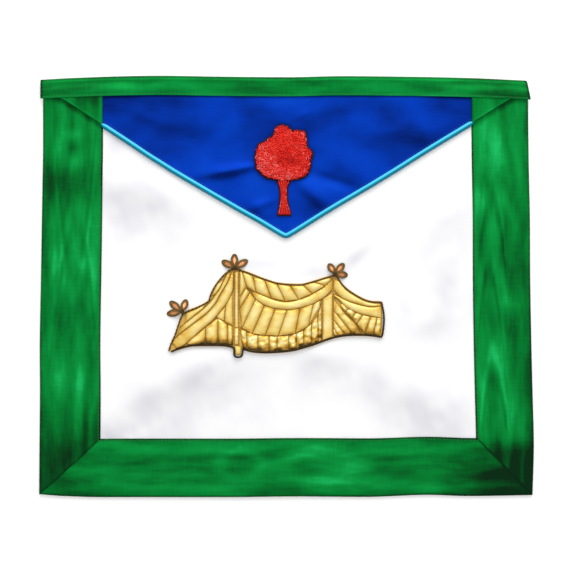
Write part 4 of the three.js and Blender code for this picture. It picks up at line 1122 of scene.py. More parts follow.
def make_border(border, moire):
    """One of the three ribbons round the apron."""
    side = border["side"]
    front = border["front"]
    cell = 1.3

    def ends(d):
        return border_ends(side, d)

    def mark(s, d):
        start, stop = ends(d)
        x, y = border_place(side, s, d)
        # Painted shade along the inner edge, the folded outer edge and the mitres, and a painted shadow below
        # the flap
        fold = painted_edge_shade(d, width=1.1, strength=1.5)
        mitred = painted_edge_shade(np.minimum(s - start, stop - s), width=1.4, strength=border["mitre_dark"])
        under_flap = painted_edge_shade(np.maximum(0, flap_edge(x, 0) - y), width=2.8, strength=0.7)
        # Painted shade where the ribbon turns the corner from the light below
        turned_corner = border["dull"] * smooth(-3, 14, BORDER_BOTTOM - HALF_LENGTH - y)
        edges = painted_edge_shade(front - d) + fold + mitred + under_flap
        return watering_and_shade(border["marks"], x, y) + edges - turned_corner

    long = APRON_WIDTH if side == "bottom" else APRON_LENGTH
    shape = make_binding(
        folded_ribbon(front, TURN_IN, BORDER_TOP), stops(long, cell), ends,
        lambda s, d, z: lay(*border_place(side, s, d), z), border["seed"], mark,
    )
    name = border["name"]
    piece = place(build(name + "_ribbon", shape, moire), "green_moire", name)
    start, stop = ends(np.array([0.0, front]))


def band_point(s, d, z):
    """A point of the band over the top edge, raised where it passes over the ribbon on the flap's ends."""
    end = HALF_WIDTH + BAND_OVERHANG
    step = 2 * end / BAND_STEPS
    ribbon_start = HALF_WIDTH - max(BORDER_LEFT, BORDER_RIGHT)
    over_ribbon = smooth(ribbon_start - 2 * step, ribbon_start - step, np.abs(s))
    over_end = smooth(BAND_FOLD, BAND_BACK - GAP, d)
    lean = BAND_LEAN * (1 - d / BAND_FRONT) * smooth(end - 2 * step, end, s)
    rise = np.where(z > BAND_FOLD, 1, 0) * over_ribbon * over_end * (RIBBON_THICK + GAP)
    return lay(s - lean, HALF_LENGTH - d, z + rise)


def make_band(moire):
    """The ribbon folded over the top edge."""
    end = HALF_WIDTH + BAND_OVERHANG
    dull = 0.08
    pattern_start = 103

    def mark(s, d):
        # Painted shade at the cut ends and along the fold, and a painted highlight along the lower edge
        cut_ends = painted_edge_shade(end - np.abs(s), width=1.6, strength=0.9)
        fold = painted_edge_shade(d, width=1.3, strength=0.6)
        painted_edge_highlight = 0.7 * hump(BAND_FRONT - d, 0.7)
        return watering_and_shade(BAND_MARKS, s, HALF_LENGTH - d) + painted_edge_highlight + cut_ends + fold - dull

    def ends(d):
        return 0 * d - end, 0 * d + end

    line = folded_ribbon(BAND_FRONT, BAND_BACK, BAND_TOP)
    shape = make_binding(line, stops(2 * end, 2.0), ends, band_point, pattern_start, mark)
    piece = place(build("band_ribbon", shape, moire), "green_moire", "top_band")
    return piece


def flap_edge(x, inset):
    """Place in the flat cut of the flap's slanting edge, which sags, `inset` inside it."""
    share = np.abs(x) / FLAP_SPREAD
    left = read(FLAP_EDGE, "at", "left", share)
    right = read(FLAP_EDGE, "at", "right", share)
    sag = np.where(np.asarray(x) < 0, left, right)
    return TIP_Y + FLAP_SLOPE * np.abs(x) - FLAP_SAG * sag + inset * SLANT


def flap_end(inset, top):
    """How far out a slanting line `inset` inside the flap's edge meets the height `top`, cut off blunt."""
    return (top - flap_edge(0, inset)) / FLAP_SLOPE - BLUNT_END


def flap_tone(x, y):
    """Tone of the flap's satin: darker where it turns from the light, beside the tree and under the band."""
    step = 1.0
    steepest = 0.35
    tree_rim = 0.09
    under_band = painted_edge_shade(HALF_LENGTH - BAND_FRONT - y, width=1.6, strength=0.9)
    outer = 0.30 * smooth(0.25, 0.8, np.abs(x) / FLAP_SPREAD)
    rise = (lay_flap(x, y + step, 0)[..., 2] - lay_flap(x, y - step, 0)[..., 2]) / (2 * step)
    turned_away = 1.9 * np.clip(rise, 0, steepest)
    round_tree = 0.45 * hump(crown_share(x, y)[0] - 1, tree_rim)
    return under_band - outer - turned_away - round_tree + flap_ridges(GLOWS, x, y)


def make_flap(satin):
    """The blue flap, which tucks into its piping."""
    top = HALF_LENGTH - BAND_FOLD
    end = min(HALF_WIDTH - BORDER_FOLD, flap_end(FLAP_INSET, top))
    drop = top - flap_edge(0, FLAP_INSET)
    cell = 1.4
    u, v = grid(stops(2 * end, cell), stops(drop, cell))
    x = (2 * u - 1) * end
    y = mix(flap_edge(x, FLAP_INSET), top, v)
    shape = shell(lay_flap(x, y, FLAP_TOP), lay_flap(x, y, FLAP_BASE), flat_cloth(x, y), flap_tone(x, y))
    piece = place(build("flap_satin", shape, satin), "blue_satin", "flap")
    return piece


def make_flap_corner(name, side, border, marks, seed, moire):
    """Ribbon over one end of the flap, turned down over the flap's slanting edge."""
    inner = HALF_WIDTH - border
    outer = flap_end(CORNER_INSET, UNDER_BAND)
    cell = 1.2
    lip = PIPING_DIAMETER
    bend = 0.9
    narrowing = 0.8
    lip_height = 0.4
    fold_width = 1.3
    fold_shine = 0.75
    turns = 4
    x = side * mix(inner, outer, stops(outer - inner, cell))
    front = flap_edge(x, CORNER_INSET)
    reach = (UNDER_BAND - front) / SLANT
    squeeze = np.minimum(1, narrowing * reach / lip)
    insets = []
    heights = []
    for k in range(turns):
        turn = math.pi / 2 * k / turns
        insets.append(CORNER_INSET + bend * (1 - math.cos(turn)) * squeeze)
        heights.append(mix(FLAP_BASE + lip_height, CORNER_TOP, math.sin(turn)))
    start = flap_edge(x, CORNER_INSET + bend * squeeze)
    long = UNDER_BAND - float(front.min())
    shares = stops(long, cell)
    flat_y = np.stack([flap_edge(x, inset) for inset in insets] + [mix(start, UNDER_BAND, s) for s in shares])
    top = np.array(heights + [CORNER_TOP] * len(shares))[:, None]
    flat_x = np.broadcast_to(x, flat_y.shape)
    upper = lay_flap(flat_x, flat_y, top)
    tucked = np.minimum(flap_edge(flat_x, CORNER_INSET + lip * squeeze), UNDER_BAND)
    lower = lay_flap(flat_x, flat_y, np.where(flat_y < tucked, FLAP_BASE, CORNER_BASE))
    across = HALF_WIDTH - np.abs(flat_x)
    cloth = np.stack([side * flat_y, across, seed + 0 * across], -1)
    # Painted shade along the inner edge, and a painted highlight along the folded front edge
    inner_edge = painted_edge_shade(np.abs(flat_x) - inner, strength=0.6)
    fold = fold_shine * hump(flat_y - front, fold_width)
    shape = shell(upper, lower, cloth, watering_and_shade(marks, flat_x, flat_y) + inner_edge + fold)
    piece = place(build(name + "_ribbon", shape, moire), "green_moire", name)
    return piece


def make_piping(satin):
    """Piping along both slanting edges, bent at the tip and thinner where its ends go under the ribbons."""
    z = PANEL_TOP + GAP + PIPING_RADIUS
    tuck = 1.2
    bend = 1.6
    bend_drop = 0.4
    end_thick = 0.55
    points = 320
    sides = 28
    left = -(HALF_WIDTH - BORDER_LEFT + tuck)
    right = HALF_WIDTH - BORDER_RIGHT + tuck
    x = np.linspace(left, right, points)
    rounded = np.sqrt(x * x + bend * bend) - bend * bend_drop
    y = flap_edge(x, PIPING_RADIUS) + FLAP_SLOPE * (rounded - np.abs(x))
    full = smooth(0, 3 * tuck, np.minimum(x - left, right - x))
    radius = PIPING_RADIUS * mix(end_thick, 1, full)
    shape = sweep(lay_flap(x, y, z), radius, sides)
    # Painted light and shade: lighter on the side towards the lamp, darker on the side away from it
    down = np.cos(shape["cloth"][:, 1] / radius.mean())
    shape["tone"] = mix(0.9, -0.8, smooth(-0.45, 0.15, down))
    return place(build("flap_piping_cord", shape, satin), "turquoise_satin", "flap_piping")


def tree_x(u):
    """Place across the apron of a share of the tree's width."""
    return TREE_OFFSET + (u - 0.5) * TREE_WIDTH


def tree_y(v):
    """Place up the apron of a share of the tree's height."""
    return TIP_Y + TREE_FOOT + v * TREE_HEIGHT


def crown_place(out, angle, rim=0.0):
    """A point of the crown at a share of the way out from its middle, `rim` wider."""
    reach = out * read(CROWN, "at", "reach", np.degrees(angle))
    across = reach * np.cos(angle)
    up = reach * np.sin(angle)
    x = tree_x(CROWN_MIDDLE["u"] + CROWN_MIDDLE["reach_u"] * across) + out * rim * np.cos(angle)
    y = tree_y(CROWN_MIDDLE["v"] + CROWN_MIDDLE["reach_v"] * up) + out * rim * np.sin(angle)
    return x, y


def crown_share(x, y):
    """Share of the way out from the crown's middle to its rim at (x, y), and the angle there."""
    across = (x - tree_x(CROWN_MIDDLE["u"])) / (CROWN_MIDDLE["reach_u"] * TREE_WIDTH)
    along = (y - tree_y(CROWN_MIDDLE["v"])) / (CROWN_MIDDLE["reach_v"] * TREE_HEIGHT)
    angle = np.arctan2(along, across)
    return np.hypot(across, along) / read(CROWN, "at", "reach", np.degrees(angle)), angle


def crown_height(out, angle):
    """Height of the crown's padding, which swells in lumps to its rim."""
    lumps = 7
    lump_height = 0.12
    rim_height = 0.3
    lump = lump_height * np.sin(lumps * angle) * np.sin(math.tau * out)
    return CROWN_PUFF * (mix(rim_height, 1, np.sqrt(np.clip(1 - out ** 4, 0, 1))) + lump)


def turned(profile, facets, put):
    """A round form from a profile of (out, high) pairs that starts and ends at its middle."""
    out = np.array([p[0] for p in profile[1:-1]])[:, None]
    high = np.array([p[1] for p in profile[1:-1]])[:, None]
    angle = np.linspace(-math.pi, math.pi, facets, endpoint=False)[None]
    rings = put(out + 0 * angle, angle + 0 * out, high + 0 * angle)
    zero = np.zeros(1)
    first = put(zero, zero, zero + profile[0][1])
    last = put(zero, zero, zero + profile[-1][1])
    points = np.concatenate([rings.reshape(-1, 3), first, last])
    cloth = points.copy()
    cloth[:, 2] = 0
    return form(points, ring_faces(len(out), facets), cloth, np.zeros(len(points)))


def crown_form(rim, base, top, height):
    """A round sheet or pad with the crown's outline."""
    rings = 14
    facets = 96
    profile = [(0, 1)] + [(r, 1) for r in np.linspace(0, 1, rings)[1:]] + [(1.0, 0), (0.5, 0), (0, 0)]

    def put(out, angle, high):
        x, y = crown_place(out, angle, rim)
        return lay_flap(x, y, base + high * (height(out, angle) if callable(height) else top))

    return turned(profile, facets, put)


def trunk_grid(rim, low, high, columns, rows):
    """Grid of places within the trunk's outline, `rim` wider and lower."""
    u, v = grid(np.linspace(0, 1, columns), np.linspace(0, 1, rows))
    along = mix(low, high, v)
    left = tree_x(read(TRUNK, "v", "left", along)) - rim
    right = tree_x(read(TRUNK, "v", "right", along)) + rim
    return u, mix(left, right, u), tree_y(along) - rim * (1 - v)


def chip_form(length, radius):
    """One chip of coiled thread: a ribbed tube with blunt ends."""
    coils = 4
    hollow = 0.72
    bow = 0.18
    sides = 6
    rings = 2 * coils + 1
    x = np.linspace(-0.5, 0.5, rings) * length
    path = np.stack([x, 0 * x, bow * radius * np.cos(math.pi * x / length)], -1)
    ribs = np.where(np.arange(rings) % 2 == 1, 1.0, hollow)
    return sweep(path, radius * ribs, sides)


def slope_over(put, x, y, step=0.4):
    """The way that faces out of a surface z(x, y)."""
    dx = (put(x + step, y) - put(x - step, y)) / (2 * step)
    dy = (put(x, y + step) - put(x, y - step)) / (2 * step)
    return unit(np.stack([-dx, -dy, np.ones_like(dx)], -1))


def crown_foot():
    """Share of the tree's height at which its crown ends, over its trunk."""
    return CROWN_MIDDLE["v"] - CROWN_MIDDLE["reach_v"] * float(read(CROWN, "at", "reach", -90))


def make_tree_ground(felt):
    """The felt ground of the tree, a rim wider than its crown and its trunk."""
    foot = TRUNK[0]["v"]
    _, x, y = trunk_grid(FELT_RIM, foot, crown_foot() + FELT_RIM / TREE_HEIGHT, columns=9, rows=24)
    top = lay_flap(x, y, TREE_GROUND + TREE_BACKING_THICK)
    trunk_ground = shell(top, lay_flap(x, y, TREE_GROUND), flat_cloth(x, y))
    ground = gather([crown_form(FELT_RIM, TREE_GROUND, TREE_BACKING_THICK, None), trunk_ground])
    backing = place(build("tree_ground_felt", ground, felt), "maroon_felt", "tree_backing")


def chip_places(draw):
    """Where the crown's chips lie from its middle, in rows shaken a little, and how far out each one is."""
    shake = 0.35
    outermost = 0.975
    row_pitch = 0.87 * CHIP_PITCH
    across = np.arange(-22, 23) * CHIP_PITCH
    up = np.arange(-27, 28) * row_pitch
    x, y = np.meshgrid(across, up)
    x = x + np.where(np.arange(len(up))[:, None] % 2 == 1, CHIP_PITCH / 2, 0)
    x = (x + draw.uniform(-shake, shake, x.shape)).ravel()
    y = (y + draw.uniform(-shake, shake, y.shape)).ravel()
    out = crown_share(tree_x(CROWN_MIDDLE["u"]) + x, tree_y(CROWN_MIDDLE["v"]) + y)[0]
    keep = out < outermost + 0.02 * ripple(x, y, size=5, seed=SEED + 3)
    return x[keep], y[keep], out[keep]


def chip_tints(draw, x, y, out):
    """Each chip's tint: red, with painted shade below the middle and at the rim, and most pale chips, which
    are painted glints, at the left.
    """
    usual = 0.52
    unlike = 0.09
    calm_tint = 0.54
    darkest = 0.02
    lightest = 0.86
    patch = 0.09 * ripple(x, y, size=8, seed=SEED + 1)
    calm = hump(x - 1, reach=13) * hump(y - 8, reach=13)
    pinker = 0.17 * smooth(-6, 14, -x - y)
    rim = 0.34 * smooth(0.92, 1.0, out)
    shadow = 0.26 * hump(x - 4, reach=8) * hump(y + 4, reach=6) + rim
    spread = mix(draw.normal(usual, unlike, len(x)), calm_tint, 0.6 * calm)
    tints = np.clip(spread + patch + pinker * (1 - calm) - shadow, darkest, lightest)
    paler = 0.02 + 0.05 * smooth(0.6, 0.9, out) + 0.07 * smooth(2, 16, -x - y)
    pale = draw.uniform(0, 1, len(x)) < paler * (1 - 0.9 * calm)
    return np.where(pale, draw.uniform(0.82, 0.98, len(x)), tints)


def make_crown(draw, purl):
    """The tree's crown: a pad under chips of coiled thread that lie every way, and along its rim."""
    x, y, out = chip_places(draw)
    px = tree_x(CROWN_MIDDLE["u"]) + x
    py = tree_y(CROWN_MIDDLE["v"]) + y
    rim_start = 0.88
    rim_sway = 0.9
    tip = 0.16
    inset = 0.8
    pad_tint = 0.24

    def surface(at_x, at_y):
        share, angle = crown_share(at_x, at_y)
        return lay_flap(at_x, at_y, TREE_BASE + crown_height(np.minimum(share, 1), angle))[..., 2]

    turn = draw.uniform(0, math.pi, len(px))
    along_rim = np.arctan2(y, x) + math.pi / 2 + draw.uniform(-rim_sway, rim_sway, len(px))
    turn = np.where(out > rim_start, along_rim, turn)
    ahead = np.stack([np.cos(turn), np.sin(turn), draw.uniform(-tip, tip, len(px))], -1)
    origins = lay_flap(px, py, 0 * px)
    origins[:, 2] = surface(px, py) + CHIP_RADIUS * draw.uniform(0.6, 1.2, len(px))
    tints = chip_tints(draw, x, y, out)
    chips = stamped(chip_form(CHIP_LENGTH, CHIP_RADIUS), origins, ahead, slope_over(surface, px, py), tints)
    pad = crown_form(-inset, TREE_BASE, CROWN_PUFF, crown_height)
    pad["tone"][:] = pad_tint
    crown = place(build("tree_crown_chips", gather([pad, chips]), purl), "red_bullion", "tree_crown")


def make_trunk(draw, purl):
    """The tree's trunk: a roll under chips laid to its middle like a feather, and along its edges."""
    foot = TRUNK[0]["v"]
    trunk_top = crown_foot() - 2 * GAP / TREE_HEIGHT
    side_height = 0.3
    chip_pitch = 0.92
    feather = 38
    u, x, y = trunk_grid(0, foot, trunk_top, columns=11, rows=60)
    roll = TRUNK_PUFF * mix(side_height, 1, np.sin(math.pi * u))
    pad = shell(lay_flap(x, y, TREE_BASE + roll), lay_flap(x, y, TREE_BASE), flat_cloth(x, y), 0.15 + 0 * x)
    chip_rows = round((trunk_top - foot) * TREE_HEIGHT / chip_pitch)
    u, x, y = trunk_grid(-0.5, foot + 0.006, trunk_top + 0.02, columns=5, rows=chip_rows)
    x = x + draw.uniform(-0.12, 0.12, x.shape)
    z = TREE_BASE + TRUNK_PUFF * mix(side_height, 1, np.sin(math.pi * u)) + 0.35
    slant = np.radians(np.where(u < 0.5, feather, -feather) + draw.uniform(-14, 14, u.shape))
    edge = (u == 0) | (u == 1)
    slant = np.where(edge, math.pi / 2 * np.sign(0.5 - u) + draw.uniform(-0.3, 0.3, u.shape), slant)
    ahead = np.stack([np.cos(slant), np.sin(slant), 0 * u], -1).reshape(-1, 3)
    straight_up = np.broadcast_to(UP, ahead.shape)
    tints = np.clip(np.where(edge, 0.60, 0.56) + draw.normal(0, 0.12, u.shape), 0.05, 0.97)
    tints = np.where(edge & (draw.uniform(0, 1, u.shape) < 0.12), 0.92, tints).ravel()
    chip = chip_form(length=1.9, radius=0.42)
    laid = stamped(chip, lay_flap(x, y, z).reshape(-1, 3), ahead, straight_up, tints)
    trunk = place(build("tree_trunk_chips", gather([pad, laid]), purl), "red_bullion", "tree_trunk")


def make_tree(felt, purl):
    """The tree: its felt ground, its padded crown and its trunk, whose chips are drawn from one seed."""
    make_tree_ground(felt)
    draw = np.random.default_rng(SEED)
    make_crown(draw, purl)
    make_trunk(draw, purl)


def tent_x(u):
    """Place across the apron of a share of the tent's width."""
    return TENT_OFFSET + (u - 0.5) * TENT_WIDTH


def tent_y(v):
    """Place up the apron of a share of the tent's height."""
    return v * TENT_HEIGHT + TENT_FOOT - HALF_LENGTH


def tent_line(rows):
    """A line of the tent in millimetres."""
    return np.array([(tent_x(row["u"]), tent_y(row["v"])) for row in rows])


def on(line, u):
    """The point of a line of the tent at share u of the tent's width."""
    return {"u": u, "v": float(read(line, "u", "v", u))}


def tent_curve(rows):
    """A smooth line through a line of the tent, at even steps."""
    return resample(spline(tent_line(rows)), TENT_STEP)


def at(u, v):
    """A place of the tent, by shares of its width and height."""
    return {"u": u, "v": v}


def seams(head, foot, pairs):
    """Stitched seams between two lines of the tent, from pairs of places along them."""
    return [[on(head, a), on(foot, b)] for a, b in pairs]


def eased(count):
    """Shares from 0 to 1 that lie closer together at both ends."""
    return (1 - np.cos(np.linspace(0, math.pi, count + 1))) / 2


def quilt_seams(curves, lengths, s, rims):
    """The seams of a padded piece, each with its points at shares s between its head and its foot. They keep
    off the outline cord at the sides that `rims` names."""
    most_length = 0.3
    most_width = 0.6

    def hold(side):
        return OUTLINE_DIAMETER / 2 + RIM_GAP if side in rims else SEAM_GAP / 2

    rows = []
    for curve, length in zip(curves, lengths):
        head = min(hold("head") / length, most_length)
        foot = min(hold("foot") / length, most_length)
        share = np.linspace(0, 1, len(curve))
        place_at = mix(head, 1 - foot, s)
        rows.append(np.stack([np.interp(place_at, share, curve[:, k]) for k in (0, 1)], -1))
    for end, beside, side in ((0, 1, "first"), (-1, -2, "last")):
        across = rows[beside] - rows[end]
        apart = np.maximum(np.linalg.norm(across, axis=1, keepdims=True), NEARLY_ZERO)
        rows[end] = rows[end] + across * np.minimum(hold(side) / apart, most_width)
    return rows


def quilt_grid(rows):
    """Points from seam to seam of a padded piece, and how far each is across its strip."""
    cell = 0.7
    points = []
    shares = []
    for i, (row, after) in enumerate(zip(rows[:-1], rows[1:])):
        width = np.linalg.norm(after - row, axis=1).mean()
        part = eased(max(6, round(width / cell)))
        for t in part[:-1] if i < len(rows) - 2 else part:
            points.append(mix(row, after, t))
            shares.append(t)
    return np.stack(points), np.array(shares)[:, None]


def quilt_height(x, y, run, swell, puff, crumple, seed):
    """Height of a padded piece: swelled between its seams, puckered beside them, and crumpled."""
    pucker = 2.6
    pucker_depth = 0.10
    softness = 0.05
    sway = 2 * ripple(x, y, size=9, seed=seed)
    tight = pucker_depth * np.sin(math.tau * run / pucker + sway) * (1 - swell) * np.minimum(1, 3 * swell)
    soft = softness * ripple(x, y, size=7, seed=seed + 1) * swell
    broad = ripple(x * 0.45, y, size=4.2, seed=seed + 2)
    crushed = crumple * swell * (broad + 0.5 * ripple(x, y, size=2.6, seed=seed + 3))
    height = mix(SEAM_THICK, puff, swell) + puff * (tight + soft + crushed)
    return np.clip(height, SEAM_THICK * 0.8, None)


def quilt_tone(x, y, s, swell, crumple, low, foot_shade, seed):
    """Tone of a padded piece: painted shade down to `low` in its seams, painted light and shade where it is
    crumpled, and painted shade towards its foot.
    """
    creased = ripple(x * 0.5, y, size=4.5, seed=seed + 4) + 0.6 * ripple(x, y * 0.6, size=3.2, seed=seed + 5)
    low_end = 0.35 * (0.5 + 0.5 * ripple(x, y, size=6, seed=seed + 7))
    shaded = foot_shade * (1 - low_end) * smooth(0.45, 1, s)[None]
    tone = mix(low, 1.0, swell) + 1.1 * crumple * creased - shaded
    return tone + 0.10 * ripple(x, y, size=16, seed=seed + 6)


def make_quilt(name, lines, material, puff=TENT_PUFF, rims=(), crumple=0.0, low=0.38, foot_shade=0.0):
    """A padded piece of the tent, quilted by seams that each run from its head to its foot, each lying on the
    left of the one before it. `rims` names the sides along the outline cord: head, foot, first or last."""
    cell = 0.85
    curves = [tent_curve(line) for line in lines]
    lengths = [float(run_along(curve)[-1]) for curve in curves]
    cells = max(6, round(max(lengths) / cell))
    s = mix(np.linspace(0, 1, cells + 1), eased(cells), 0.6)
    points, share = quilt_grid(quilt_seams(curves, lengths, s, rims))
    x, y = points[..., 0], points[..., 1]
    swell = np.sqrt(np.clip(np.sin(math.pi * share) * np.sin(math.pi * s[None]), 0, 1))
    # Each piece has ripples of its own, from the letters of its name
    seed = sum(ord(letter) for letter in name)
    height = quilt_height(x, y, s[None] * max(lengths), swell, puff, crumple, seed)
    tone = quilt_tone(x, y, s, swell, crumple, low, foot_shade, seed)
    shape = shell(lay(x, y, TENT_BASE + height), lay(x, y, TENT_BASE), flat_cloth(x, y), tone, bulge=0.1)
    piece = place(build(name + "_pad", shape, material), "gold_lame", name)
    return curves[1:-1]


def make_tent_pads(gilt):
    """Every padded piece of the tent, and the lines of the seams within them."""
    upper_outer = FOLD_OUTER[1:4]
    lower_outer = FOLD_OUTER[5:9]
    hood_edge = LEFT_SIDE[10:13][::-1]
    eave_edge = LEFT_SIDE[5:9][::-1]
    lines = []

    def quilt(name, seam_lines, **options):
        lines.extend(make_quilt(name, seam_lines, gilt, **options))

    quilt("tent_fold_inner", [FOLD_MIDDLE, FOLD_INNER], rims=("foot",))
    quilt("tent_fold_outer", [FOLD_OUTER, FOLD_MIDDLE[:10]], puff=0.85 * TENT_PUFF, rims=("foot",))
    quilt("tent_hood", [hood_edge, upper_outer], puff=0.7 * TENT_PUFF, rims=("first",))
    quilt("tent_eave", [eave_edge, lower_outer], puff=0.8 * TENT_PUFF, rims=("first", "foot"))

    skirt_head = FOLD_INNER[5:10][::-1] + EAVE[1:]
    quilt("tent_left_skirt", seams(skirt_head, BASE, (
        (0.085, 0.09), (0.170, 0.170), (0.228, 0.228), (0.272, 0.272), (0.298, 0.298),
    )), rims=("foot",), crumple=0.05, foot_shade=0.95)
    gusset_head = FOLD_INNER[2:6][::-1]
    quilt("tent_gusset", seams(gusset_head, EAVE, ((0.222, 0.222), (0.262, 0.258), (0.295, 0.299))),
          puff=0.75 * TENT_PUFF)
    roof = [[on(RIDGE, 0.326), at(0.326, 0.69)], [on(RIDGE, 0.338), at(0.360, 0.80)]]
    quilt("tent_roof", roof + seams(RIDGE, SWAG_TOP, (
        (0.388, 0.405), (0.443, 0.475), (0.500, 0.540), (0.560, 0.602), (0.620, 0.665), (0.668, 0.725),
        (0.742, 0.756),
    )), rims=("head",))
    quilt("tent_swag", [SWAG_FOOT[1:], SWAG_TOP[1:]], puff=1.1 * TENT_PUFF)
    drape = [[at(0.356, 0.785), at(0.327, 0.665)], [on(SWAG_FOOT, 0.377), at(0.328, 0.555)]]
    quilt("tent_front_drape", drape + seams(SWAG_FOOT, DRAPE_FOOT, (
        (0.402, 0.338), (0.443, 0.386), (0.493, 0.446), (0.548, 0.507), (0.608, 0.586), (0.670, 0.647),
        (0.702, 0.702),
    )))
    quilt("tent_front_skirt", seams(DRAPE_FOOT, BASE, (
        (0.328, 0.344), (0.362, 0.362), (0.413, 0.413), (0.465, 0.465), (0.502, 0.502), (0.556, 0.556),
        (0.590, 0.590), (0.625, 0.625), (0.661, 0.661), (0.690, 0.694), (0.706, 0.710),
    )), puff=0.85 * TENT_PUFF, rims=("foot",), crumple=0.26, foot_shade=0.8)

    quilt("tent_right_roof", [[at(0.762, 0.76)] + RIGHT_BREAK[1:], [at(0.766, 0.885)] + RIDGE[13:]],
          rims=("last", "foot"))
    quilt("tent_right_swag", [RIGHT_SWAG_FOOT, RIGHT_BREAK], rims=("foot",))
    rim = RIGHT_END[:4][::-1]
    quilt("tent_right_drape", [
        [on(RIGHT_SWAG_FOOT, 0.800), on(RIGHT_FALL, 0.793)],
        *seams(RIGHT_SWAG_FOOT, RIGHT_FALL, ((0.833, 0.815), (0.868, 0.842), (0.900, 0.868))),
        [on(RIGHT_SWAG_FOOT, 0.935), on(BASE, 0.905)],
        [on(RIGHT_SWAG_FOOT, 0.966), on(BASE, 0.945)],
        [on(RIGHT_SWAG_FOOT, 0.993), rim[-1]],
    ], puff=0.8 * TENT_PUFF, rims=("last", "foot"), crumple=0.16, foot_shade=0.4)
    quilt("tent_right_skirt", [
        [at(0.763, 0.27), on(BASE, 0.768)],
        [at(0.763, 0.33), on(BASE, 0.787)],
        [at(0.763, 0.42), on(BASE, 0.820)],
        [at(0.764, 0.52), at(0.800, 0.42), on(BASE, 0.855)],
        [RIGHT_FALL[0], on(RIGHT_FALL, 0.815), on(RIGHT_FALL, 0.868), on(BASE, 0.898)],
    ], puff=0.85 * TENT_PUFF, rims=("foot",), crumple=0.10, foot_shade=0.6)

    quilt("tent_near_post", [[at(0.304, 0.97), at(0.305, 0.335)], [at(0.322, 0.97), at(0.323, 0.335)]],
          puff=POST_PUFF, low=0.75)
    quilt("tent_tie", [[at(0.302, 0.33), at(0.302, 0.14)], [at(0.326, 0.33), at(0.326, 0.14)]],
          crumple=0.12, low=0.7)
    quilt("tent_post_foot", [[at(0.304, 0.135), at(0.308, 0.010)], [at(0.338, 0.115), at(0.335, 0.010)]],
          puff=POST_PUFF, rims=("foot",))
    quilt("tent_far_post", [[on(SWAG_FOOT, 0.715), on(BASE, 0.713)], [at(0.759, 0.72), on(BASE, 0.758)]],
          puff=POST_PUFF, rims=("foot",), low=0.7)
    return lines


def make_seam_threads(lines, thread):
    """Brown thread couched along every seam of the tent, and stitches along both sides of its posts."""
    edges = [
        FOLD_INNER, FOLD_MIDDLE, FOLD_OUTER, EAVE, SWAG_TOP, SWAG_FOOT, DRAPE_FOOT, RIGHT_BREAK,
        RIGHT_SWAG_FOOT, RIGHT_FALL, [at(0.302, 0.240), at(0.327, 0.246)],
    ]
    dashed = [
        [at(0.303, 0.96), at(0.3035, 0.14)], [at(0.323, 0.96), at(0.3255, 0.14)],
        [at(0.711, 0.65), on(BASE, 0.711)], [at(0.7605, 0.88), on(BASE, 0.7605)],
    ]
    step = 0.5
    couching = 2.4
    dip_depth = 0.12
    rise = 0.25
    stitch_rise = 0.75
    cords = []
    for path in lines + [tent_curve(edge) for edge in edges]:
        path = resample(path, step)[1:-1]
        dip = dip_depth * np.cos(math.tau * np.arange(len(path)) * step / couching)
        laid = lay(path[:, 0], path[:, 1], TENT_BASE + SEAM_THICK + rise + dip)
        cords.append(twisted(laid, SEAM_THREAD, pitch=1.3, sides=5))
    for edge in dashed:
        path = tent_curve(edge)[3:-3]
        laid = lay(path[:, 0], path[:, 1], TENT_BASE + SEAM_THICK + stitch_rise)
        cords.append(stitch_row(laid, radius=0.36, tint=0.3))
    return place(build("tent_seam_threads", gather(cords), thread), "umber_gimp")


def outline_path():
    """Line of the cord round the tent, from its lower left tip round to the tip again."""
    foot_left = [p for p in BASE if p["u"] < FOOT_OF_POST[0]["u"]]
    foot_right = [p for p in BASE if p["u"] > FOOT_OF_POST[-1]["u"]]
    round_it = [
        *LEFT_SIDE[:-1], *RIDGE, *RIGHT_END[1:-1][::-1], *foot_right[::-1], *FOOT_OF_POST[::-1],
        *foot_left[::-1][:-1], at(BASE[0]["u"] + 0.012, BASE[0]["v"] - 0.01),
    ]
    return tent_curve(round_it)


def make_outline(cord):
    """The twisted cord couched round the tent, heavier along its foot, and darker there with painted shade.
    """
    rise = 0.2
    pitch = 2.6
    bead = 4.2
    path = outline_path()
    share = np.arange(len(path)) / len(path)
    heavy_and_shaded = smooth(0.47, 0.53, share)
    radius = OUTLINE_DIAMETER / 2 * mix(0.72, 0.88, heavy_and_shaded)
    line = lay(path[:, 0], path[:, 1], TENT_BASE + OUTLINE_DIAMETER / 2 + rise)
    shape = twisted(line, radius, pitch, sides=7)
    run = shape["cloth"][:, 0]
    along = run / run.max()
    beads = 0.45 * np.sin(math.tau * run / bead) * (1 - smooth(0.16, 0.3, along))
    shape["tone"] = np.interp(along, share, mix(0.22, -0.25, heavy_and_shaded)) + beads
    return place(build("tent_outline_gimp", shape, cord), "umber_gimp", "tent_outline_cord")


def make_tent_backing(felt):
    """The ground under the tent, which reaches half a cord beyond the outline."""
    wide = OUTLINE_DIAMETER / 2 / TENT_WIDTH
    high = OUTLINE_DIAMETER / 2 / TENT_HEIGHT
    head = LEFT_SIDE[:-1] + RIDGE
    columns = 140
    rows = 14
    u, v = grid(np.linspace(0, 1, columns), np.linspace(0, 1, rows))
    place_at = mix(head[0]["u"] + wide, head[-1]["u"] + wide, u)
    low = read(BASE, "u", "v", place_at) - high
    top = read(head, "u", "v", place_at) + high
    x = tent_x(place_at)
    y = tent_y(mix(low, top, v))
    upper = lay(x, y, TENT_GROUND + TENT_BACKING_THICK)
    shape = shell(upper, lay(x, y, TENT_GROUND), flat_cloth(x, y), bulge=0.1)
    piece = place(build("tent_ground_felt", shape, felt), "gold_felt", "tent_backing")
    return piece


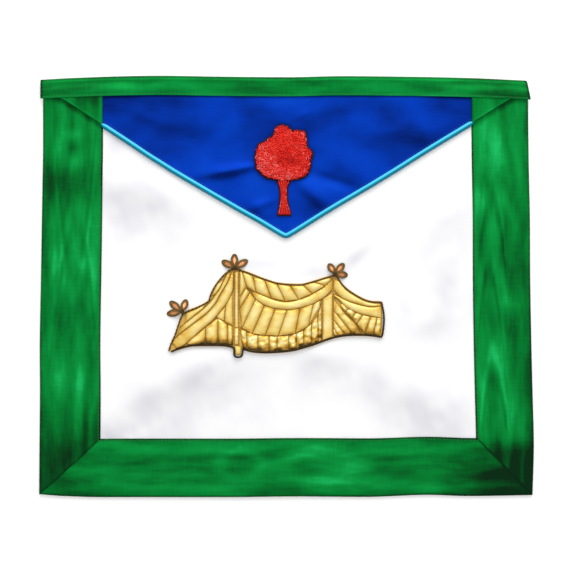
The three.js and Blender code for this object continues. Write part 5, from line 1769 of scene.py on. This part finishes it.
def petal_width(angle):
    """Half the width of a bow's petal at an angle round it, narrow at the knot."""
    return (PETAL_WIDTH - BOW_CORD) / 2 * mix(0.45, 1.05, smooth(-1, 0.2, np.cos(angle)))


def make_petal(turn, reach, settle):
    """One petal of a bow: an outer and an inner loop of cord, and the copper thread that fills it."""
    c = math.cos(math.radians(turn))
    s = math.sin(math.radians(turn))
    pitch = 1.5
    around = np.linspace(-math.pi, math.pi, 49)
    loop_reach = 0.94
    fill_reach = 0.9
    inner_share = 0.62
    inner_shift = 0.4
    outer_rise = 0.55
    inner_rise = 0.75
    inner_tint = 0.55
    fill_tint = 0.3
    fill_profile = [(0, 0.75), (0.5, 0.75), (0.95, 0.35), (0.95, 0.1), (0.4, 0.1), (0, 0.1)]

    def turn_out(x, y, z):
        return settle(x * c - y * s, x * s + y * c, z)

    def put(out, angle, high):
        x = reach * (1 + fill_reach * out * np.cos(angle))
        return turn_out(x, petal_width(angle) * out * np.sin(angle), high)

    outer_x = reach * (1 + loop_reach * np.cos(around))
    outer = turn_out(outer_x, petal_width(around) * np.sin(around), outer_rise)
    inner_x = reach * (1 + inner_share * loop_reach * np.cos(around)) + (1 - inner_share) * inner_shift
    inner = turn_out(inner_x, inner_share * petal_width(around) * np.sin(around), inner_rise)
    loops = [
        twisted(outer, BOW_CORD / 2, pitch, sides=5),
        twisted(inner, 0.42 * BOW_CORD, pitch, sides=5, tint=inner_tint),
    ]
    fill = turned(fill_profile, facets=24, put=put)
    fill["tone"][:] = fill_tint
    return loops, fill


def make_bow(bow, cord, copper):
    """One bow: three petals of twisted cord, filled with copper thread, round a knot on the outline cord."""
    x = tent_x(bow["u"])
    y = tent_y(bow["v"])
    base = TENT_BASE + OUTLINE_DIAMETER + GAP
    knot_turns = 2.25
    knot_points = 70
    knot_low = 0.4
    knot_rise = 0.9
    knot_tint = -0.5

    def settle(px, py, z):
        reach = np.hypot(px, py)
        drop = (base - TENT_GROUND) * smooth(KNOT_DIAMETER / 2, 1.7 * PETAL_WIDTH, reach)
        return lay(x + px, y + py, base + z - drop)

    loops = []
    fills = []
    for turn, length in bow["petals"]:
        petal, fill = make_petal(turn, length * PETAL_WIDTH / 2, settle)
        loops.extend(petal)
        fills.append(fill)
    spin = np.linspace(0, knot_turns * math.tau, knot_points)
    coil = 0.35 * KNOT_DIAMETER * (1 - 0.25 * spin / spin[-1])
    knot = settle(coil * np.cos(spin), coil * np.sin(spin), knot_low + knot_rise * spin / spin[-1])
    loops.append(twisted(knot, radius=0.55, pitch=1.5, sides=5, tint=knot_tint))
    place(build(bow["name"] + "_fill", gather(fills), copper), "copper_gimp")
    place(build(bow["name"] + "_loops", gather(loops), cord), "copper_gimp", bow["name"])


def stitch_row(path, radius=THREAD_RADIUS, length=STITCH_LENGTH, pitch=STITCH_PITCH, tint=0.0):
    """Machine stitches along a path, each a short bowed thread that is thinner at its ends."""
    thickness = np.array([0.55, 0.95, 1, 0.95, 0.55])
    rise = 0.9
    bend = 3.2
    path = resample(path, pitch)
    ahead = unit(np.gradient(path, axis=0))
    x = np.linspace(-0.5, 0.5, len(thickness)) * length
    bow = np.stack([x, 0 * x, radius * (rise - bend * (x / length) ** 2)], -1)
    thread = sweep(bow, radius * thickness, sides=6)
    over = np.broadcast_to(UP, ahead.shape)
    return stamped(thread, path, ahead, over, np.full(len(path), tint))


def make_stitching(green, blue):
    """Rows of machine stitches that hold the ribbons and the piping."""
    y_low = HALF_LENGTH - BORDER_BOTTOM + STITCH_INSET
    band_inset = 1.2
    piping_inset = 0.7
    rows = []
    s = np.linspace(0, 1, 160)
    y = mix(-y_low + 2, flap_edge(HALF_WIDTH - BORDER_LEFT, -2), s)
    for side, border in ((-1, BORDER_LEFT), (1, BORDER_RIGHT)):
        x = side * (HALF_WIDTH - border + STITCH_INSET)
        rows.append(stitch_row(lay(x + 0 * y, y, BORDER_TOP)))
    x = mix(-(HALF_WIDTH - BORDER_LEFT + STITCH_INSET), HALF_WIDTH - BORDER_RIGHT + STITCH_INSET, s)
    rows.append(stitch_row(lay(x, -y_low + 0 * x, BORDER_TOP)))
    end = HALF_WIDTH - 1
    x = mix(-end, end, s)
    rows.append(stitch_row(band_point(x, BAND_FRONT - band_inset + 0 * x, BAND_TOP + 0 * x)))
    place(build("ribbon_stitches", gather(rows), green), "green_moire")

    x = np.linspace(-(HALF_WIDTH - BORDER_LEFT), HALF_WIDTH - BORDER_RIGHT, 400)
    y = flap_edge(x, PIPING_DIAMETER + piping_inset)
    place(build("flap_stitches", stitch_row(lay_flap(x, y, FLAP_TOP), radius=0.18), blue), "blue_satin")


def make_floor():
    """A plain white sweep, far wider than the apron, so that its edge shows in no view."""
    reach = 12
    corners = [(-reach, -reach, 0), (reach, -reach, 0), (reach, reach, 0), (-reach, reach, 0)]
    mesh = bpy.data.meshes.new("floor")
    mesh.from_pydata(corners, [], [(0, 1, 2, 3)])
    mesh.materials.append(white_sweep())
    floor = bpy.data.objects.new("floor", mesh)
    bpy.context.scene.collection.objects.link(floor)


def make_camera():
    """A long lens straight above the apron, framed as the photograph is."""
    data = bpy.data.cameras.new("camera")
    data.sensor_width = SENSOR
    data.lens = SENSOR * (CAMERA_HEIGHT - BORDER_TOP) / (PICTURE_PX * MM_PER_PX)
    data.clip_end = 4 * CAMERA_HEIGHT * MM
    camera = bpy.data.objects.new("camera", data)
    camera.location = (0, 0, CAMERA_HEIGHT * MM)
    bpy.context.scene.collection.objects.link(camera)
    bpy.context.scene.camera = camera


def softbox(name, place_at, size, watts):
    """A square studio light that faces the middle of the apron."""
    data = bpy.data.lights.new(name, "AREA")
    data.shape = "RECTANGLE"
    data.size, data.size_y = size
    data.energy = watts
    lamp = bpy.data.objects.new(name, data)
    lamp.location = place_at
    x, y, z = place_at
    lamp.rotation_euler = (math.atan2(math.hypot(x, y), z), 0, math.atan2(x, -y))
    bpy.context.scene.collection.objects.link(lamp)


def make_light():
    """A broad lamp beyond the top of the apron, in a white room that is brightest overhead."""
    softbox("key_softbox", place_at=(0.15, 1.5, 1.3), size=(1.8, 1.2), watts=28)
    falloff = 4.0
    world = bpy.data.worlds.new("studio")
    world.use_nodes = True
    tree = world.node_tree
    tree.nodes.clear()
    height = add(tree, "SeparateXYZ", {"Vector": add(tree, "TexCoord", {})["Generated"]})["Z"]
    level = add(tree, "Math", {0: height, 1: 0.0}, operation="MAXIMUM")[0]
    overhead = add(tree, "Math", {0: level, 1: falloff}, operation="POWER")[0]
    strength = add(tree, "MapRange", {"Value": overhead, "To Min": 0.42, "To Max": 1.18})["Result"]
    room = add(tree, "Background", {"Color": linear("ffffff"), "Strength": strength})["Background"]
    add(tree, "OutputWorld", {"Surface": room})
    bpy.context.scene.world = world
    bpy.context.scene.view_settings.view_transform = "Standard"


make_camera()
make_light()
make_floor()
moire = green_moire()
make_panel(white_satin(), cotton_lining())
make_flap(blue_satin())
for border in BORDERS:
    make_border(border, moire)
make_band(moire)
make_flap_corner("flap_corner_left", -1, BORDER_LEFT, LEFT_MARKS, 140, moire)
make_flap_corner("flap_corner_right", 1, BORDER_RIGHT, RIGHT_MARKS, 171, moire)
make_piping(turquoise_satin())
make_tree(maroon_felt(), red_purl())
make_tent_backing(gold_felt())
make_seam_threads(make_tent_pads(gold_lame()), gimp("brown_silk", "5e3c10", "94641e", "bc8c3c"))
umber = gimp("umber_cord", "160d04", "3c2a10", "7e6030")
make_outline(umber)
olive = gimp("olive_cord", "463a1e", "74602e", "a87440")
copper = gimp("copper_thread", "a8582a", "d4884a", "ecaa78")
for bow in BOWS:
    make_bow(bow, olive, copper)
green_thread = sewing_thread("green_thread", "08702c", "148a44")
make_stitching(green_thread, sewing_thread("blue_thread", "02309c", "1450d0"))
